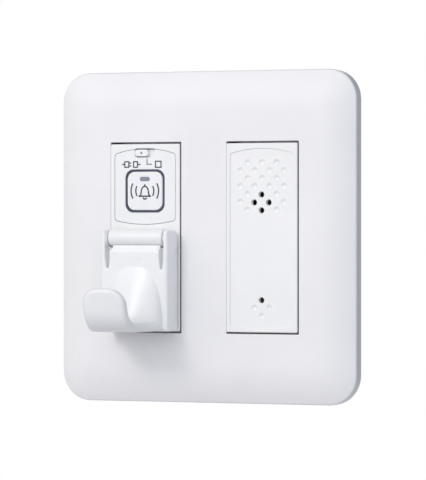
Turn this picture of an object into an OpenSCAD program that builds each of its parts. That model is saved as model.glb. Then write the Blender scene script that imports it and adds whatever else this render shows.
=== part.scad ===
// Two-gang nurse call wall plate: a call module with a hinged hook cover, beside an intercom module.
// Millimetres. X runs right, Z up, the front faces -Y, and the wall is the plane Y = 0.
// The origin is the middle of the four box screw slots, on the wall plane.

/* [Cover plate] */
// Margin of the cover plate beside the outer module edges
plate_side = 21.2; // [20:0.1:25]
// Margin of the cover plate above and below the box screws
plate_end = 18.25; // [17:0.25:22]
// Depth of the cover plate in front of the wall
plate_depth = 8.05; // [7.8:0.05:9.5]
// Wall of the cover plate
plate_wall = 1.8; // [1.4:0.1:2.2]
// Corner radius of the plate, seen from the front
plate_corner_r = 10.8; // [9:0.1:13]
// Depth of the plate at its rim, where the dome starts
plate_rim_depth = 4.7; // [4.4:0.1:5.6]
// Radius of the rim's front edge
plate_edge_r = 1; // [0.6:0.1:1.4]
// Gap between a module and its opening in the plate
aperture_gap = 0.45; // [0.3:0.05:0.6]
// Wall of the lip behind each opening
lip_wall = 1.4; // [1:0.1:1.8]

/* [Mounting strap] */
// Distance between the two gangs
gang_pitch = 46; // [46:0.5:48]
// Distance from the plate's side edge to the strap
strap_inset_x = 11; // [9:0.5:12]
// Distance from the plate's upper edge to the strap
strap_inset_z = 7; // [6.5:0.5:9]
// Thickness of the steel strap
strap_t = 1.2; // [1:0.1:1.4]
// Corner radius of the strap
strap_corner_r = 3; // [1:0.5:5]
// Width of a box screw slot
box_slot_w = 4.5; // [4:0.1:5.2]
// Length of a box screw slot, end to end
box_slot_l = 9; // [7:0.5:11]
// Gap between a housing and its opening in the strap
strap_gap = 0.3; // [0.2:0.05:0.4]

/* [Plate frame] */
// Thickness of the inner plate frame
frame_t = 2.4; // [2:0.1:2.6]
// Gap between the frame and the wall of the cover plate
frame_gap = 0.4; // [0.3:0.05:0.6]
// Distance of the frame screws from the strap's side edge
frame_screw_inset = 5; // [4:0.1:5.4]
// Distance of the frame screws below the module's upper edge
frame_screw_drop = 4.2; // [2:0.1:12]
// Radius of the relief hole over each box screw
relief_r = 5.5; // [5:0.1:6]
// Width of a snap tab of the cover plate
snap_w = 8; // [6:0.5:10]
// Thickness of a snap tab
snap_t = 1.2; // [1:0.1:1.4]
// Reach of a snap tab's barb
snap_barb = 0.6; // [0.4:0.05:0.8]
// Distance of the snap tabs from the plate's side edge
snap_inset = 28; // [20:1:36]
// Gap between the snap tabs and the end of the frame
snap_margin = 1.2; // [1.2:0.1:1.4]

/* [Modules] */
// Width of a module's front
module_w = 27.6; // [27:0.1:28.4]
// Height of a module's front
module_h = 68.4; // [68:0.1:69.4]
// Distance of the box screws beyond a module's upper and lower edges
box_screw_space = 7.55; // [7:0.05:9]
// Corner radius of a module's front
module_corner_r = 0.6; // [0.3:0.1:1]
// How far a module's face stands in front of the plate
module_proud = 0.3; // [0:0.05:0.6]
// Thickness of a module's face
face_t = 2.2; // [2:0.1:2.4]
// Wall of a module's skirt
skirt_wall = 1.4; // [1.2:0.1:1.4]
// Gap between the skirt and the rear housing
housing_gap = 0.2; // [0.15:0.05:0.25]
// Wall of the rear housing
housing_wall = 1.6; // [1.2:0.1:1.6]
// Space from a board's rear to the outside of its housing's rear wall
rear_space = 14.4; // [13:0.2:18]
// Distance from a face's rear to the front edge of its housing
housing_set_back = 2; // [1.8:0.1:2.2]
// Width of the latch nubs of a housing
latch_w = 8; // [6:0.5:12]
// Height of the latch nubs
latch_proud = 0.6; // [0.4:0.05:0.7]
// Thickness of the latch nubs
latch_t = 1.2; // [0.8:0.1:1.2]

/* [Module clips] */
// Width of a steel clip
clip_w = 10; // [8:0.5:14]
// Thickness of a steel clip
clip_t = 0.8; // [0.6:0.1:1]
// Length of a clip behind the strap
clip_l = 16; // [15:0.5:18]
// Reach of the clip's foot behind the strap
clip_foot = 3.6; // [2.5:0.1:4]
// Distance of the clip screw behind the strap
clip_screw_y = 12; // [11.5:0.1:12.5]

/* [Label panel] */
// Distance of the label panel from the module's side edges
panel_side = 1.7; // [1.5:0.1:2.2]
// Distance of the panel's arch from the module's upper edge
panel_end = 2.2; // [2:0.1:2.4]
// Height of the panel between its two arches
panel_h = 27.4; // [27:0.1:28]
// Rise of the upper arch
panel_top_sag = 2; // [1.2:0.1:2.4]
// Rise of the lower arch
panel_bottom_sag = 1.5; // [1:0.1:2]
// Corner radius of the panel
panel_corner_r = 1.5; // [1:0.1:2]
// Thickness of the panel
panel_t = 1.3; // [1.1:0.1:1.3]
// Gap round the panel
panel_gap = 0.12; // [0.08:0.02:0.2]

/* [Call button] */
// Distance of the button's centre below the top of the panel
button_drop = 15.3; // [14.8:0.1:15.8]
// Outer size of the dark ring
ring_size = 15.9; // [15:0.1:16.2]
// Width of the dark ring
ring_w = 0.9; // [0.7:0.1:1.1]
// Outer corner radius of the ring
ring_r = 3.2; // [2.6:0.1:4]
// Gap between the ring and the cap
cap_gap = 0.15; // [0.12:0.01:0.2]
// How far the cap stands in front of the module's face
cap_proud = 0.15; // [0:0.05:0.3]
// Travel of the button
button_travel = 0.5; // [0.3:0.05:0.5]
// Width of the flange that keeps the cap in
flange_w = 1.3; // [1:0.1:1.3]
// Thickness of that flange
flange_t = 1.2; // [1:0.1:1.4]
// Gap between the flange and the rear of the face
flange_gap = 0.1; // [0.05:0.05:0.2]
// Radius of the stem behind the cap
stem_r = 2; // [1.6:0.1:2.2]
// Width of the lamp window in the cap
lamp_w = 3.95; // [3.2:0.05:4.5]
// Height of the lamp window
lamp_h = 1.5; // [1.2:0.05:1.7]
// Height of the lamp window above the button's centre
lamp_rise = 4.35; // [4.25:0.05:4.8]
// Distance between the end of the light pipe and the lamp
lamp_air = 0.9; // [0.8:0.05:1.2]

/* [Slide switch] */
// Distance of the slide knob below the top of the panel
knob_drop = 1.5; // [1.4:0.1:1.8]
// Width of the knob's slot
knob_slot_w = 8.2; // [7.6:0.1:9]
// Height of the knob's slot
knob_slot_h = 3.1; // [2.9:0.1:3.3]
// Width of the knob
knob_w = 5.2; // [4.6:0.1:5.6]
// Height of the knob
knob_h = 2.6; // [2.3:0.1:2.7]
// How far the knob stands in front of the face
knob_proud = 0.25; // [0:0.05:0.5]
// Gap at the ends and sides of the slide
slide_gap = 0.15; // [0.12:0.01:0.2]
// Distance of the switch behind the knob below the knob
slide_switch_drop = 1.9; // [1.8:0.1:2.1]

/* [Handset jack] */
// Width of the jack's pocket
jack_pocket_w = 12; // [10:0.1:12.5]
// Height of the jack's pocket
jack_pocket_h = 9; // [8:0.1:9.5]
// Depth of the jack's pocket
jack_pocket_d = 10; // [8:0.1:10.4]
// Wall above and below the pocket
jack_wall = 3; // [2:0.1:3]
// Distance of the jack's sides from the board's side edges
jack_side = 1.3; // [1:0.1:2.5]
// Number of contacts
jack_count = 6; // [4:1:6]
// Distance between contacts
jack_contact_pitch = 1.4; // [1.2:0.1:1.6]

/* [Hook cover hinge] */
// Distance of the hinge axis in front of the module's face
hinge_reach = 6.1; // [6:0.1:6.6]
// Distance of the hinge axis below the bottom of the panel
hinge_drop = 4.8; // [4.6:0.1:5.4]
// Radius of the hinge barrel
barrel_r = 3.2; // [3:0.1:3.2]
// Distance from the inside of a cheek to the end of the barrel
barrel_side = 0.9; // [0.8:0.1:1.4]
// Radius of the barrel's rounded ends
barrel_end_r = 0.7; // [0.4:0.1:1]
// Distance from the end of the barrel to the web that carries it
web_inset = 2.2; // [1.6:0.1:4]
// Thickness of the web
web_t = 3.6; // [2.8:0.1:4]
// Radius of the hinge shaft
shaft_r = 1; // [0.8:0.05:1.2]
// Running clearance round the shaft
shaft_clearance = 0.05; // [0.03:0.01:0.08]
// Gap between the barrel and each pivot pad
pivot_gap = 0.3; // [0.2:0.05:0.35]

/* [Hook cover] */
// Distance of the cover's cheeks from the module's side edges
cover_side_gap = 0.45; // [0.2:0.05:0.6]
// Thickness of the cover's cheeks
cheek_t = 1.75; // [1.5:0.05:1.8]
// Thickness of the cover's front plate
cover_front_t = 2.2; // [1.8:0.1:2.4]
// Depth from the hinge axis to the front of the cover
cover_front = 3.5; // [3.5:0.1:4]
// Gap between the cheeks and the module's face
cheek_gap = 0.4; // [0.3:0.05:0.6]
// Height of the cheeks above the hinge axis
cheek_rise = 2.65; // [2.4:0.05:2.8]
// Distance of the cover's lower edge from the module's lower edge
cover_lift = 0.2; // [0:0.1:1]
// Radius of the cover's outer edges
cover_edge_r = 0.8; // [0.4:0.1:1]
// Gap between the barrel and the tongue of the front plate
tongue_gap = 0.25; // [0.2:0.05:0.4]
// Width of the slits beside the tongue
slit_w = 1.74; // [1.5:0.02:2]
// Length of the slits' straight part
slit_straight = 5.4; // [4:0.1:6]
// Length of the slits' curved end
slit_curve = 3; // [2.4:0.1:3.6]
// Width of the notches at the tongue's corners
notch_w = 1.06; // [0.6:0.02:1.4]
// Depth of the notches
notch_h = 1.8; // [1:0.1:2.2]

/* [Hook] */
// Distance from the cover's front to the front of the hook
hook_reach = 27.45; // [24:0.05:30]
// Top of the hook's root below the hinge axis
root_drop = 10.45; // [10:0.05:12]
// Distance from the cover's side to the root at the bottom
root_side = 1.95; // [1.8:0.05:3]
// Distance that the root swells forward above the floor
root_swell = 7; // [5:0.1:8]
// Thickness of the hook's floor
floor_t = 3.1; // [2.6:0.1:3.6]
// Gap between the floor's underside and the cover's lower edge
floor_lift = 0.1; // [0:0.05:0.6]
// Height of the lip above the hook's underside
lip_h = 15.8; // [13:0.1:17]
// Thickness of the lip
hook_lip_t = 3.3; // [2.8:0.1:3.8]
// Narrowing of the hook on each side from its root to its lip
hook_taper = 3.2; // [2.4:0.1:4]
// Radius of the lip's upper corners
hook_lip_r = 4.6; // [3:0.1:5.5]
// Outward lean of the lip in degrees
hook_lean = 14; // [6:1:16]
// Outer radius of the bend between floor and lip
hook_bend_r = 10; // [8:0.5:11]
// Inner radius of that bend
hook_fillet_r = 6.6; // [5:0.1:7]
// Radius between the floor and the cover
root_fillet_r = 3.4; // [2:0.1:4]
// Radius of the lip's rounded edge
hook_edge_r = 1.4; // [0.8:0.1:1.5]

/* [Intercom front] */
// Distance of the shallow panel from the module's side edges
grille_side = 1.4; // [1.2:0.1:2]
// Distance of its upper arch from the module's upper edge
grille_upper_end = 2; // [1.6:0.1:2.6]
// Distance of its lower arch from the module's lower edge
grille_lower_end = 0.8; // [0.8:0.1:1.8]
// Rise of the two arches
grille_sag = 1.85; // [1.2:0.05:2.2]
// Depth of the shallow panel
grille_depth = 0.3; // [0.2:0.05:0.4]
// Distance between neighbouring dots, measured along the diagonal rows
dot_pitch = 4; // [3.6:0.1:4.2]
// Radius of a dot
dot_r = 1.05; // [0.9:0.05:1.2]
// Depth of a blind dot
dot_depth = 0.6; // [0.4:0.05:0.8]
// Distance of the top row of dots below the panel's upper arch
dots_drop = 5.4; // [4.8:0.1:6]
// Rows of dots over the speaker
dot_rows = 7; // [7:1:7]
// Height of the microphone hole above the panel's lower arch
mic_rise = 10.9; // [10:0.1:12]

/* [Speaker] */
// Gap between the speaker and the wall of the housing
speaker_gap = 0.6; // [0.4:0.1:1.2]
// Width of the speaker's rim
speaker_rim_w = 1.3; // [1.1:0.1:1.6]
// Thickness of the speaker's rim
speaker_rim_t = 0.8; // [0.6:0.1:1]
// Wall of the speaker's basket
basket_wall = 0.7; // [0.5:0.1:0.8]
// Depth of the speaker's basket
basket_depth = 4.2; // [4:0.1:4.6]
// Radius of the steel yoke
yoke_r = 6.05; // [5.6:0.05:6.4]
// Height of the steel yoke
yoke_h = 4.4; // [4.2:0.1:4.8]
// Thickness of the gasket in front of the speaker
gasket_t = 0.5; // [0.4:0.1:0.8]
// Thickness of the bracket behind the speaker
bracket_t = 0.8; // [0.6:0.1:1]
// Width of the bracket
bracket_w = 5; // [4.6:0.1:6]
// Distance of the bracket's screws from the edge of the speaker
bracket_screw_gap = 3.2; // [2.8:0.1:3.4]

/* [Microphone] */
// Radius of the microphone capsule
mic_r = 3; // [2.5:0.1:3.2]
// Length of the microphone capsule
mic_l = 2.4; // [2:0.1:2.8]
// Wall of the rubber boot
boot_wall = 1.2; // [0.8:0.1:1.4]
// Thickness of the boot's front
boot_front_t = 0.8; // [0.6:0.1:1]

/* [Circuit boards] */
// Gap between a board and the side walls of its housing
board_side_gap = 0.3; // [0.2:0.1:0.6]
// Gap between a board and the end walls of its housing
board_end_gap = 1; // [0.4:0.1:2]
// Thickness of a board
board_t = 1.2; // [1:0.1:1.6]
// Distance from a face's rear to the front of its board
board_set_back = 12.55; // [12.35:0.05:13]
// Radius of the bosses that carry a board
boss_r = 2.2; // [1.9:0.1:2.3]
// Radius of a board screw's shank
board_screw_r = 1; // [0.8:0.05:1.1]
// Length of a board screw's shank
board_screw_l = 6; // [4:0.5:8]

/* [Terminals] */
// Distance of a terminal block from the board's side edges
terminal_side = 1.3; // [1:0.1:2]
// Height of a terminal block
terminal_h = 9; // [8:0.5:10]
// How far a block stands out of the housing's rear
terminal_out = 2.4; // [1:0.2:4]
// Distance of a block's middle above the board's lower edge
terminal_rise = 10; // [9.5:0.5:11]
// Number of wire entries in a block
terminal_count = 4; // [3:1:4]

/* [Hidden] */
$fn = 48;

// Overrun of every cut past the face that it opens
cut = 1;
// Play between pieces that seat in one another
play = 0.05;

// Spacings and outlines of the whole plate
box_pitch = module_h + 2 * box_screw_space;
plate_w = gang_pitch + module_w + 2 * plate_side;
plate_h = box_pitch + 2 * plate_end;
strap_w = plate_w - 2 * strap_inset_x;
strap_h = plate_h - 2 * strap_inset_z;
frame_screw_x = strap_w / 2 - frame_screw_inset;
frame_screw_z = module_h / 2 - frame_screw_drop;
snap_x = plate_w / 2 - snap_inset;

// Planes, from the wall forwards
strap_front_y = -strap_t;
frame_front_y = strap_front_y - frame_t;
plate_front_y = -plate_depth;
plate_inner_y = plate_front_y + plate_wall;
face_y = plate_front_y - module_proud;
face_rear_y = face_y + face_t;
panel_floor_y = face_y + panel_t;
housing_front_y = face_rear_y + housing_set_back;
board_y = face_rear_y + board_set_back;
board_rear_y = board_y + board_t;
housing_depth = board_rear_y + rear_space;

// Nested outlines
aperture_w = module_w + 2 * aperture_gap;
aperture_h = module_h + 2 * aperture_gap;
skirt_in_w = module_w - 2 * skirt_wall;
skirt_in_h = module_h - 2 * skirt_wall;
housing_w = skirt_in_w - 2 * housing_gap;
housing_h = skirt_in_h - 2 * housing_gap;
strap_open_w = housing_w + 2 * strap_gap;
strap_open_h = housing_h + 2 * strap_gap;
board_w = housing_w - 2 * (housing_wall + board_side_gap);
board_h = housing_h - 2 * (housing_wall + board_end_gap);
frame_w = plate_w - 2 * (plate_wall + frame_gap);
frame_h = plate_h - 2 * (plate_wall + frame_gap);
frame_corner_r = plate_corner_r - plate_wall - frame_gap;
plate_dome_r = arc_r(plate_corner_r, plate_depth - plate_rim_depth);
plate_inner_edge_r = 0.5;
snap_sink = 0.65;
snap_z = frame_h / 2 - snap_margin - snap_barb - snap_t / 2;

// Frame screws
frame_screw_r = 1.5;
frame_screw_head_r = 2.8;
frame_screw_head_h = 1.8;
frame_screw_tail = 1.5;

// Latches of the housings
latch_y = (housing_front_y + strap_front_y - latch_t) / 2;

// Clip screws
clip_screw_r = 1.25;
clip_screw_head_r = 2.2;
clip_screw_head_h = 1.5;
clip_boss = 6;
clip_boss_h = 3;
clip_screw_end = 0.6;

// Panel and the places that follow it
panel_half_w = module_w / 2 - panel_side;
panel_top = module_h / 2 - panel_end;
panel_bottom = panel_top - panel_h;
button_z = panel_top - button_drop;
knob_z = panel_top - knob_drop;
slide_switch_z = knob_z - slide_switch_drop;

// Button, its spring and its switch
cap_size = ring_size - 2 * (ring_w + cap_gap);
cap_r = ring_r - ring_w - cap_gap;
flange_y = face_rear_y + flange_gap;
flange_rear_y = flange_y + flange_t;
tact_size = 6.2;
tact_h = 3.6;
tact_front_y = board_y - tact_h;
plunger_r = 1.7;
plunger_out = 1;
plunger_in = 1.4;
plunger_gap = 0.1;
plunger_front_y = tact_front_y - plunger_out;
spring_r = 2.75;
spring_wire_r = 0.25;
spring_turns = 5;
spring_steps = 16;
spring_sides = 6;
lamp_body_w = 3.2;
lamp_body_h = 1.4;
lamp_body_t = 1.1;
lamp_z = button_z + lamp_rise;
pipe_end_y = board_y - lamp_body_t - lamp_air;

// Slide switch
knob_travel = knob_slot_w - knob_w - 2 * slide_gap;
knob_rest_x = -knob_travel / 2;
neck_w = 3.4;
neck_h = 1.7;
carrier_w = 11;
carrier_h = 3.6;
carrier_t = 1.2;
carrier_y = face_rear_y + slide_gap;
slide_body_w = 8.6;
slide_body_h = 3.8;
slide_body_t = 3.6;
slide_front_y = board_y - slide_body_t;
actuator_w = 1.8;
actuator_h = 1.6;
actuator_out = 2.2;
actuator_in = 1.4;
fork_wall = 0.6;
fork_grip = 1;
dot_mark_r = 0.25;

// Board screws of the call module, and the jack above the lowest one
boss_inset_x = 2.3;
boss_inset_z = 2;
jack_boss_gap = 0.8;
jack_back_t = 2;
jack_w = board_w - 2 * jack_side;
jack_h = jack_pocket_h + 2 * jack_wall;
boss_x = board_w / 2 - boss_inset_x;
low_boss_z = boss_inset_z - board_h / 2;
jack_z = low_boss_z + boss_r + jack_boss_gap + jack_h / 2;
mid_boss_z = (jack_z + jack_h / 2 + button_z - cap_size / 2 - flange_w) / 2;
call_screws = [[-boss_x, mid_boss_z], [boss_x, mid_boss_z], [0, low_boss_z]];
jack_rear_y = face_rear_y + jack_pocket_d + jack_back_t - play;
jack_window_lip = 0.3;
contact_w = 0.6;
contact_t = 0.4;
contact_set_back = 1.6;
contact_tail = 1;
pin_hole_r = 0.5;

// Hinge and cover
hinge_y = face_y - hinge_reach;
hinge_z = panel_bottom - hinge_drop;
cover_half_w = module_w / 2 - cover_side_gap;
cover_front_y = hinge_y - cover_front;
cover_inner_y = cover_front_y + cover_front_t;
cheek_rear_y = face_y - cheek_gap;
cheek_in_x = cover_half_w - cheek_t;
cover_top_z = hinge_z + cheek_rise;
cover_bottom_z = cover_lift - module_h / 2;
cover_drop = hinge_z - cover_bottom_z;
barrel_half_l = cheek_in_x - barrel_side;
web_w = 2 * (barrel_half_l - web_inset);
tongue_top_z = hinge_z - barrel_r - tongue_gap;
tongue_half_w = cheek_in_x - slit_w;
slit_bend_z = tongue_top_z - slit_straight;
slit_r = (slit_w * slit_w + slit_curve * slit_curve) / (2 * slit_w);
pivot_pad_r = 2.5;
pivot_in_x = barrel_half_l + pivot_gap;
shaft_bite = 1.3;
shaft_half_l = pivot_in_x + shaft_bite;
shaft_seat = 0.02;

// Hook
hook_top_z = hinge_z - root_drop;
hook_bottom_z = cover_bottom_z + floor_lift;
hook_floor_z = hook_bottom_z + floor_t;
hook_front_y = cover_front_y - hook_reach;
hook_lip_in_y = hook_front_y + hook_lip_t;
hook_lip_top_z = hook_bottom_z + lip_h;
bend_z = hook_bottom_z + hook_bend_r;
bend_y = hook_front_y + (hook_lip_top_z - bend_z + hook_bend_r * sin(hook_lean)) * tan(hook_lean)
    + hook_bend_r * cos(hook_lean);
hook_corner_y = hook_front_y + hook_lip_t / cos(hook_lean) + (hook_lip_top_z - hook_floor_z) * tan(hook_lean);
root_half_w = cover_half_w - root_side;
hook_lip_half_w = root_half_w - hook_taper;
root_arch_r = root_half_w;
root_sink = cover_front_t / 2;
root_arch_share = 2.4;
root_crown_share = 1.1;
root_tip_share = 0.004;
root_crown_steps = 16;
root_steps = 9;
root_slice_t = 0.05;
hook_split_share = 0.6;
hook_split_y = cover_front_y - hook_reach * hook_split_share;

// Intercom
grille_half_w = module_w / 2 - grille_side;
grille_top = module_h / 2 - grille_upper_end;
grille_bottom = grille_lower_end - module_h / 2;
dots_top = grille_top - dots_drop;
dot_step = dot_pitch * sin(45);
hole_row_count = 5;
dot_side_count = 3;
speaker_z = dots_top - hole_row_count * dot_step;
mic_z = grille_bottom + mic_rise;
speaker_r = housing_w / 2 - housing_wall - speaker_gap;
speaker_y = face_rear_y + gasket_t;
yoke_wall = 1;
yoke_floor = 1.2;
yoke_lap = 0.8;
yoke_front = basket_depth - yoke_lap;
yoke_rear = yoke_front + yoke_h;
coil_wall = 0.3;
coil_gap = 0.25;
pole_lip = 0.3;
pole_r = yoke_r - yoke_wall - 2 * coil_gap - coil_wall;
coil_in_r = pole_r + coil_gap;
magnet_r = pole_r - pole_lip;
magnet_h = 2;
pole_h = 0.8;
coil_top = 2.75;
coil_h = 2.6;
cone_t = 0.3;
cone_edge = 0.35;
cap_dome = 0.5;
bracket_y = speaker_y + yoke_rear;
bracket_screw_z = speaker_r + bracket_screw_gap;
bracket_end = 3;
bracket_screw_l = 5;
bracket_screw_head_h = 1.2;
bracket_screw_head_r = 1.9;
mic_ring_wall = 1.1;
boot_r = mic_r + boot_wall;
boot_l = boot_front_t + mic_l + 2 * play;
lead_r = 0.3;
lead_hole_r = 0.45;
lead_tail = 0.5;
mic_lead_x = 1.27;
speaker_lead_angle = 30;
speaker_lead_r = speaker_r - lead_r;

// Boards, and the places of their screws
board_screw_head_r = 1.9;
board_screw_head_h = 1.3;
screw_play = 0.1;
relay_w = 10;
relay_h = 12;
relay_t = 8;
relay_drop = 20;
relay_z = board_h / 2 - relay_drop;
chip_w = 8;
chip_t = 1.4;
chip_gap = 2;
chip_z = speaker_z - speaker_r - chip_gap;
capacitor_r = 2.5;
capacitor_l = 8;
capacitor_x = 4.5;
capacitor_drop = 11;
capacitor_z = board_h / 2 - capacitor_drop;

// Terminals
terminal_w = board_w - 2 * terminal_side;
terminal_z = terminal_rise - board_h / 2;
terminal_rear_y = housing_depth + terminal_out;
intercom_screw_rise = 9.5;
intercom_screw_inset = 3;
intercom_screw_low_z = terminal_z + terminal_h / 2 + intercom_screw_rise;
intercom_screws = [for (sx = [-1, 1], z = [intercom_screw_low_z, board_h / 2 - intercom_screw_inset])
    [sx * boss_x, z]];
terminal_pitch = terminal_w / (terminal_count + 1 / 2);
terminal_gap = 0.3;
chamber_wall = 0.6;
chamber_w = terminal_pitch - chamber_wall;
chamber_h = 5.4;
chamber_l = 6;
chamber_front_t = 2.4;
chamber_y = board_rear_y + chamber_front_t;
entry_rim = 0.2;
wire_entry_r = chamber_w / 2 - entry_rim;
clamp_play = 0.2;
clamp_bore_l = 4;
clamp_pin_r = 0.4;
clamp_pin_out = 0.25;
clamp_rim = 0.4;
clamp_bore_r = wire_entry_r - clamp_rim;

// Radius of an arc of a given half chord and rise
function arc_r(half, rise) = (half * half + rise * rise) / (2 * rise);

// Extrudes an outline, drawn as seen from the front, between two planes
module slab(y0, y1)
    translate([0, y1, 0]) rotate([90, 0, 0]) linear_extrude(height = y1 - y0) children();

module rod_y(r, y0, y1)
    translate([0, y1, 0]) rotate([90, 0, 0]) cylinder(r = r, h = y1 - y0);

module rod_x(r, half_l)
    rotate([0, 90, 0]) cylinder(r = r, h = 2 * half_l, center = true);

// Turns a side outline drawn as (Y, Z) into a solid of a given half width
module extrude_side(half_w)
    rotate([90, 0, 90]) translate([0, 0, -half_w]) linear_extrude(height = 2 * half_w) children();

module rounded_rect(w, h, r) {
    square([w - 2 * r, h], center = true);
    square([w, h - 2 * r], center = true);
    for (sx = [-1, 1], sz = [-1, 1])
        translate([sx * (w / 2 - r), sz * (h / 2 - r)]) circle(r = r);
}

module pill(w, h) {
    square([w - h, h], center = true);
    for (s = [-1, 1]) translate([s * (w - h) / 2, 0]) circle(r = h / 2);
}

// Upright panel outline with arched upper and lower edges and small round corners
module arched_panel(half_w, top, bottom, top_rise, bottom_rise, corner_r, grow = 0)
    offset(r = corner_r + grow) offset(delta = -corner_r)
        intersection() {
            translate([-half_w, bottom]) square([2 * half_w, top - bottom]);
            translate([0, top - arc_r(half_w, top_rise)]) circle(r = arc_r(half_w, top_rise), $fn = 240);
            translate([0, bottom + arc_r(half_w, bottom_rise)])
                circle(r = arc_r(half_w, bottom_rise), $fn = 240);
        }

// Half section of a block's rim, from where its dome starts outwards, with a round front edge
module rim_section(reach, depth, dome_r, edge_r) {
    edge_y = depth - dome_r + sqrt(pow(dome_r - edge_r, 2) - pow(reach - edge_r, 2));
    intersection() {
        square([(reach - edge_r) * dome_r / (dome_r - edge_r), depth]);
        translate([0, depth - dome_r]) circle(r = dome_r);
    }
    square([reach, edge_y]);
    translate([reach - edge_r, edge_y]) circle(r = edge_r);
}

module rim_section_pair(flat, reach, depth, dome_r, edge_r) {
    translate([-flat, 0]) square([2 * flat, depth]);
    for (s = [0, 1]) mirror([s, 0]) translate([flat, 0]) rim_section(reach, depth, dome_r, edge_r);
}

// Block with round corners as seen from the front, domed over the same reach and round at its rim
module pillow(w, h, depth, corner_r, dome_r, edge_r) {
    flat_w = w / 2 - corner_r;
    flat_h = h / 2 - corner_r;
    linear_extrude(height = 2 * flat_h, center = true)
        mirror([0, 1]) rim_section_pair(flat_w, corner_r, depth, dome_r, edge_r);
    extrude_side(flat_w) rotate(90) rim_section_pair(flat_h, corner_r, depth, dome_r, edge_r);
    for (sx = [-1, 1], sz = [-1, 1]) translate([sx * flat_w, 0, sz * flat_h]) rotate([90, 0, 0])
        rotate_extrude() rim_section(corner_r, depth, dome_r, edge_r);
}

module at_call() translate([-gang_pitch / 2, 0, 0]) children();
module at_intercom() translate([gang_pitch / 2, 0, 0]) children();
module at_gangs() for (s = [-1, 1]) translate([s * gang_pitch / 2, 0, 0]) children();

module cover_plate() color("whitesmoke") {
    difference() {
        union() {
            difference() {
                pillow(plate_w, plate_h, plate_depth, plate_corner_r, plate_dome_r, plate_edge_r);
                translate([0, cut, 0])
                    pillow(plate_w - 2 * plate_wall, plate_h - 2 * plate_wall, plate_depth - plate_wall + cut,
                        plate_corner_r - plate_wall, plate_dome_r - plate_wall, plate_inner_edge_r);
            }
            at_gangs() slab(plate_inner_y - play, frame_front_y)
                square([aperture_w + 2 * lip_wall, aperture_h + 2 * lip_wall], center = true);
        }
        at_gangs() slab(plate_front_y - cut, frame_front_y + cut)
            square([aperture_w, aperture_h], center = true);
    }
    for (sx = [-1, 1], sz = [-1, 1]) {
        translate([sx * snap_x, 0, sz * snap_z])
            slab(plate_inner_y + snap_sink, -play) square([snap_w, snap_t], center = true);
        translate([sx * snap_x, 0, sz * (snap_z + snap_barb)])
            slab(strap_front_y + play, -play) square([snap_w, snap_t], center = true);
    }
}

module plate_frame() color("gainsboro") difference() {
    slab(frame_front_y, strap_front_y) rounded_rect(frame_w, frame_h, frame_corner_r);
    at_gangs() {
        slab(frame_front_y - cut, strap_front_y + cut) square([aperture_w, aperture_h], center = true);
        for (s = [-1, 1]) translate([0, 0, s * box_pitch / 2])
            rod_y(relief_r, frame_front_y - cut, strap_front_y + cut);
    }
    for (sx = [-1, 1], sz = [-1, 1]) {
        translate([sx * frame_screw_x, 0, sz * frame_screw_z])
            rod_y(frame_screw_r + screw_play, frame_front_y - cut, strap_front_y + cut);
        translate([sx * snap_x, 0, sz * (snap_z + snap_barb / 2)])
            slab(frame_front_y - cut, strap_front_y + cut)
                square([snap_w + 4 * screw_play, snap_t + snap_barb + 4 * screw_play], center = true);
    }
}

module plate_frame_screws() color("silver")
    for (sx = [-1, 1], sz = [-1, 1]) translate([sx * frame_screw_x, 0, sz * frame_screw_z]) difference() {
        union() {
            rod_y(frame_screw_head_r, frame_front_y - frame_screw_head_h, frame_front_y);
            rod_y(frame_screw_r, frame_front_y, frame_screw_tail);
        }
        for (a = [0, 90]) rotate([0, a, 0])
            translate([0, frame_front_y - frame_screw_head_h, 0])
                cube([frame_screw_head_r, frame_screw_head_h, frame_screw_r / 3], center = true);
    }

module mounting_strap() color("silver") difference() {
    slab(strap_front_y, 0) rounded_rect(strap_w, strap_h, strap_corner_r);
    at_gangs() {
        slab(strap_front_y - cut, cut) square([strap_open_w, strap_open_h], center = true);
        for (s = [-1, 1]) translate([0, 0, s * box_pitch / 2]) slab(strap_front_y - cut, cut)
            pill(box_slot_l, box_slot_w);
    }
    for (sx = [-1, 1], sz = [-1, 1]) translate([sx * frame_screw_x, 0, sz * frame_screw_z])
        rod_y(frame_screw_r + screw_play, strap_front_y - cut, cut);
}

module module_clips() color("lightsteelblue")
    at_gangs() for (s = [0, 180]) rotate([0, s, 0]) difference() {
        translate([-clip_w / 2, 0, housing_h / 2]) {
            cube([clip_w, clip_l, clip_t]);
            cube([clip_w, clip_t, clip_foot]);
        }
        translate([0, clip_screw_y, housing_h / 2 - cut])
            cylinder(r = clip_screw_r + screw_play, h = clip_t + 2 * cut);
    }

module clip_screws() color("silver")
    at_gangs() for (s = [0, 180]) rotate([0, s, 0]) translate([0, clip_screw_y, 0]) {
        translate([0, 0, housing_h / 2 + clip_t]) cylinder(r = clip_screw_head_r, h = clip_screw_head_h);
        translate([0, 0, housing_h / 2 - housing_wall - clip_boss_h + clip_screw_end])
            cylinder(r = clip_screw_r, h = housing_wall + clip_boss_h - clip_screw_end + clip_t);
    }

// Front moulding shared by both modules: face, skirt and latch grooves
module front_shell() difference() {
    slab(face_y, strap_front_y) rounded_rect(module_w, module_h, module_corner_r);
    slab(face_rear_y, strap_front_y + cut) square([skirt_in_w, skirt_in_h], center = true);
    slab(latch_y - housing_gap, latch_y + latch_t + housing_gap)
        square([latch_w + 2 * housing_gap, skirt_in_h + 2 * latch_proud], center = true);
}

// Posts behind a face, each with a blind pilot hole for a board screw
module board_bosses(places)
    for (p = places) translate([p[0], 0, p[1]]) rod_y(boss_r, face_rear_y - play, board_y);
module board_pilots(places)
    for (p = places) translate([p[0], 0, p[1]])
        rod_y(board_screw_r + play, board_y - board_screw_l, board_y + cut);

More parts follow.
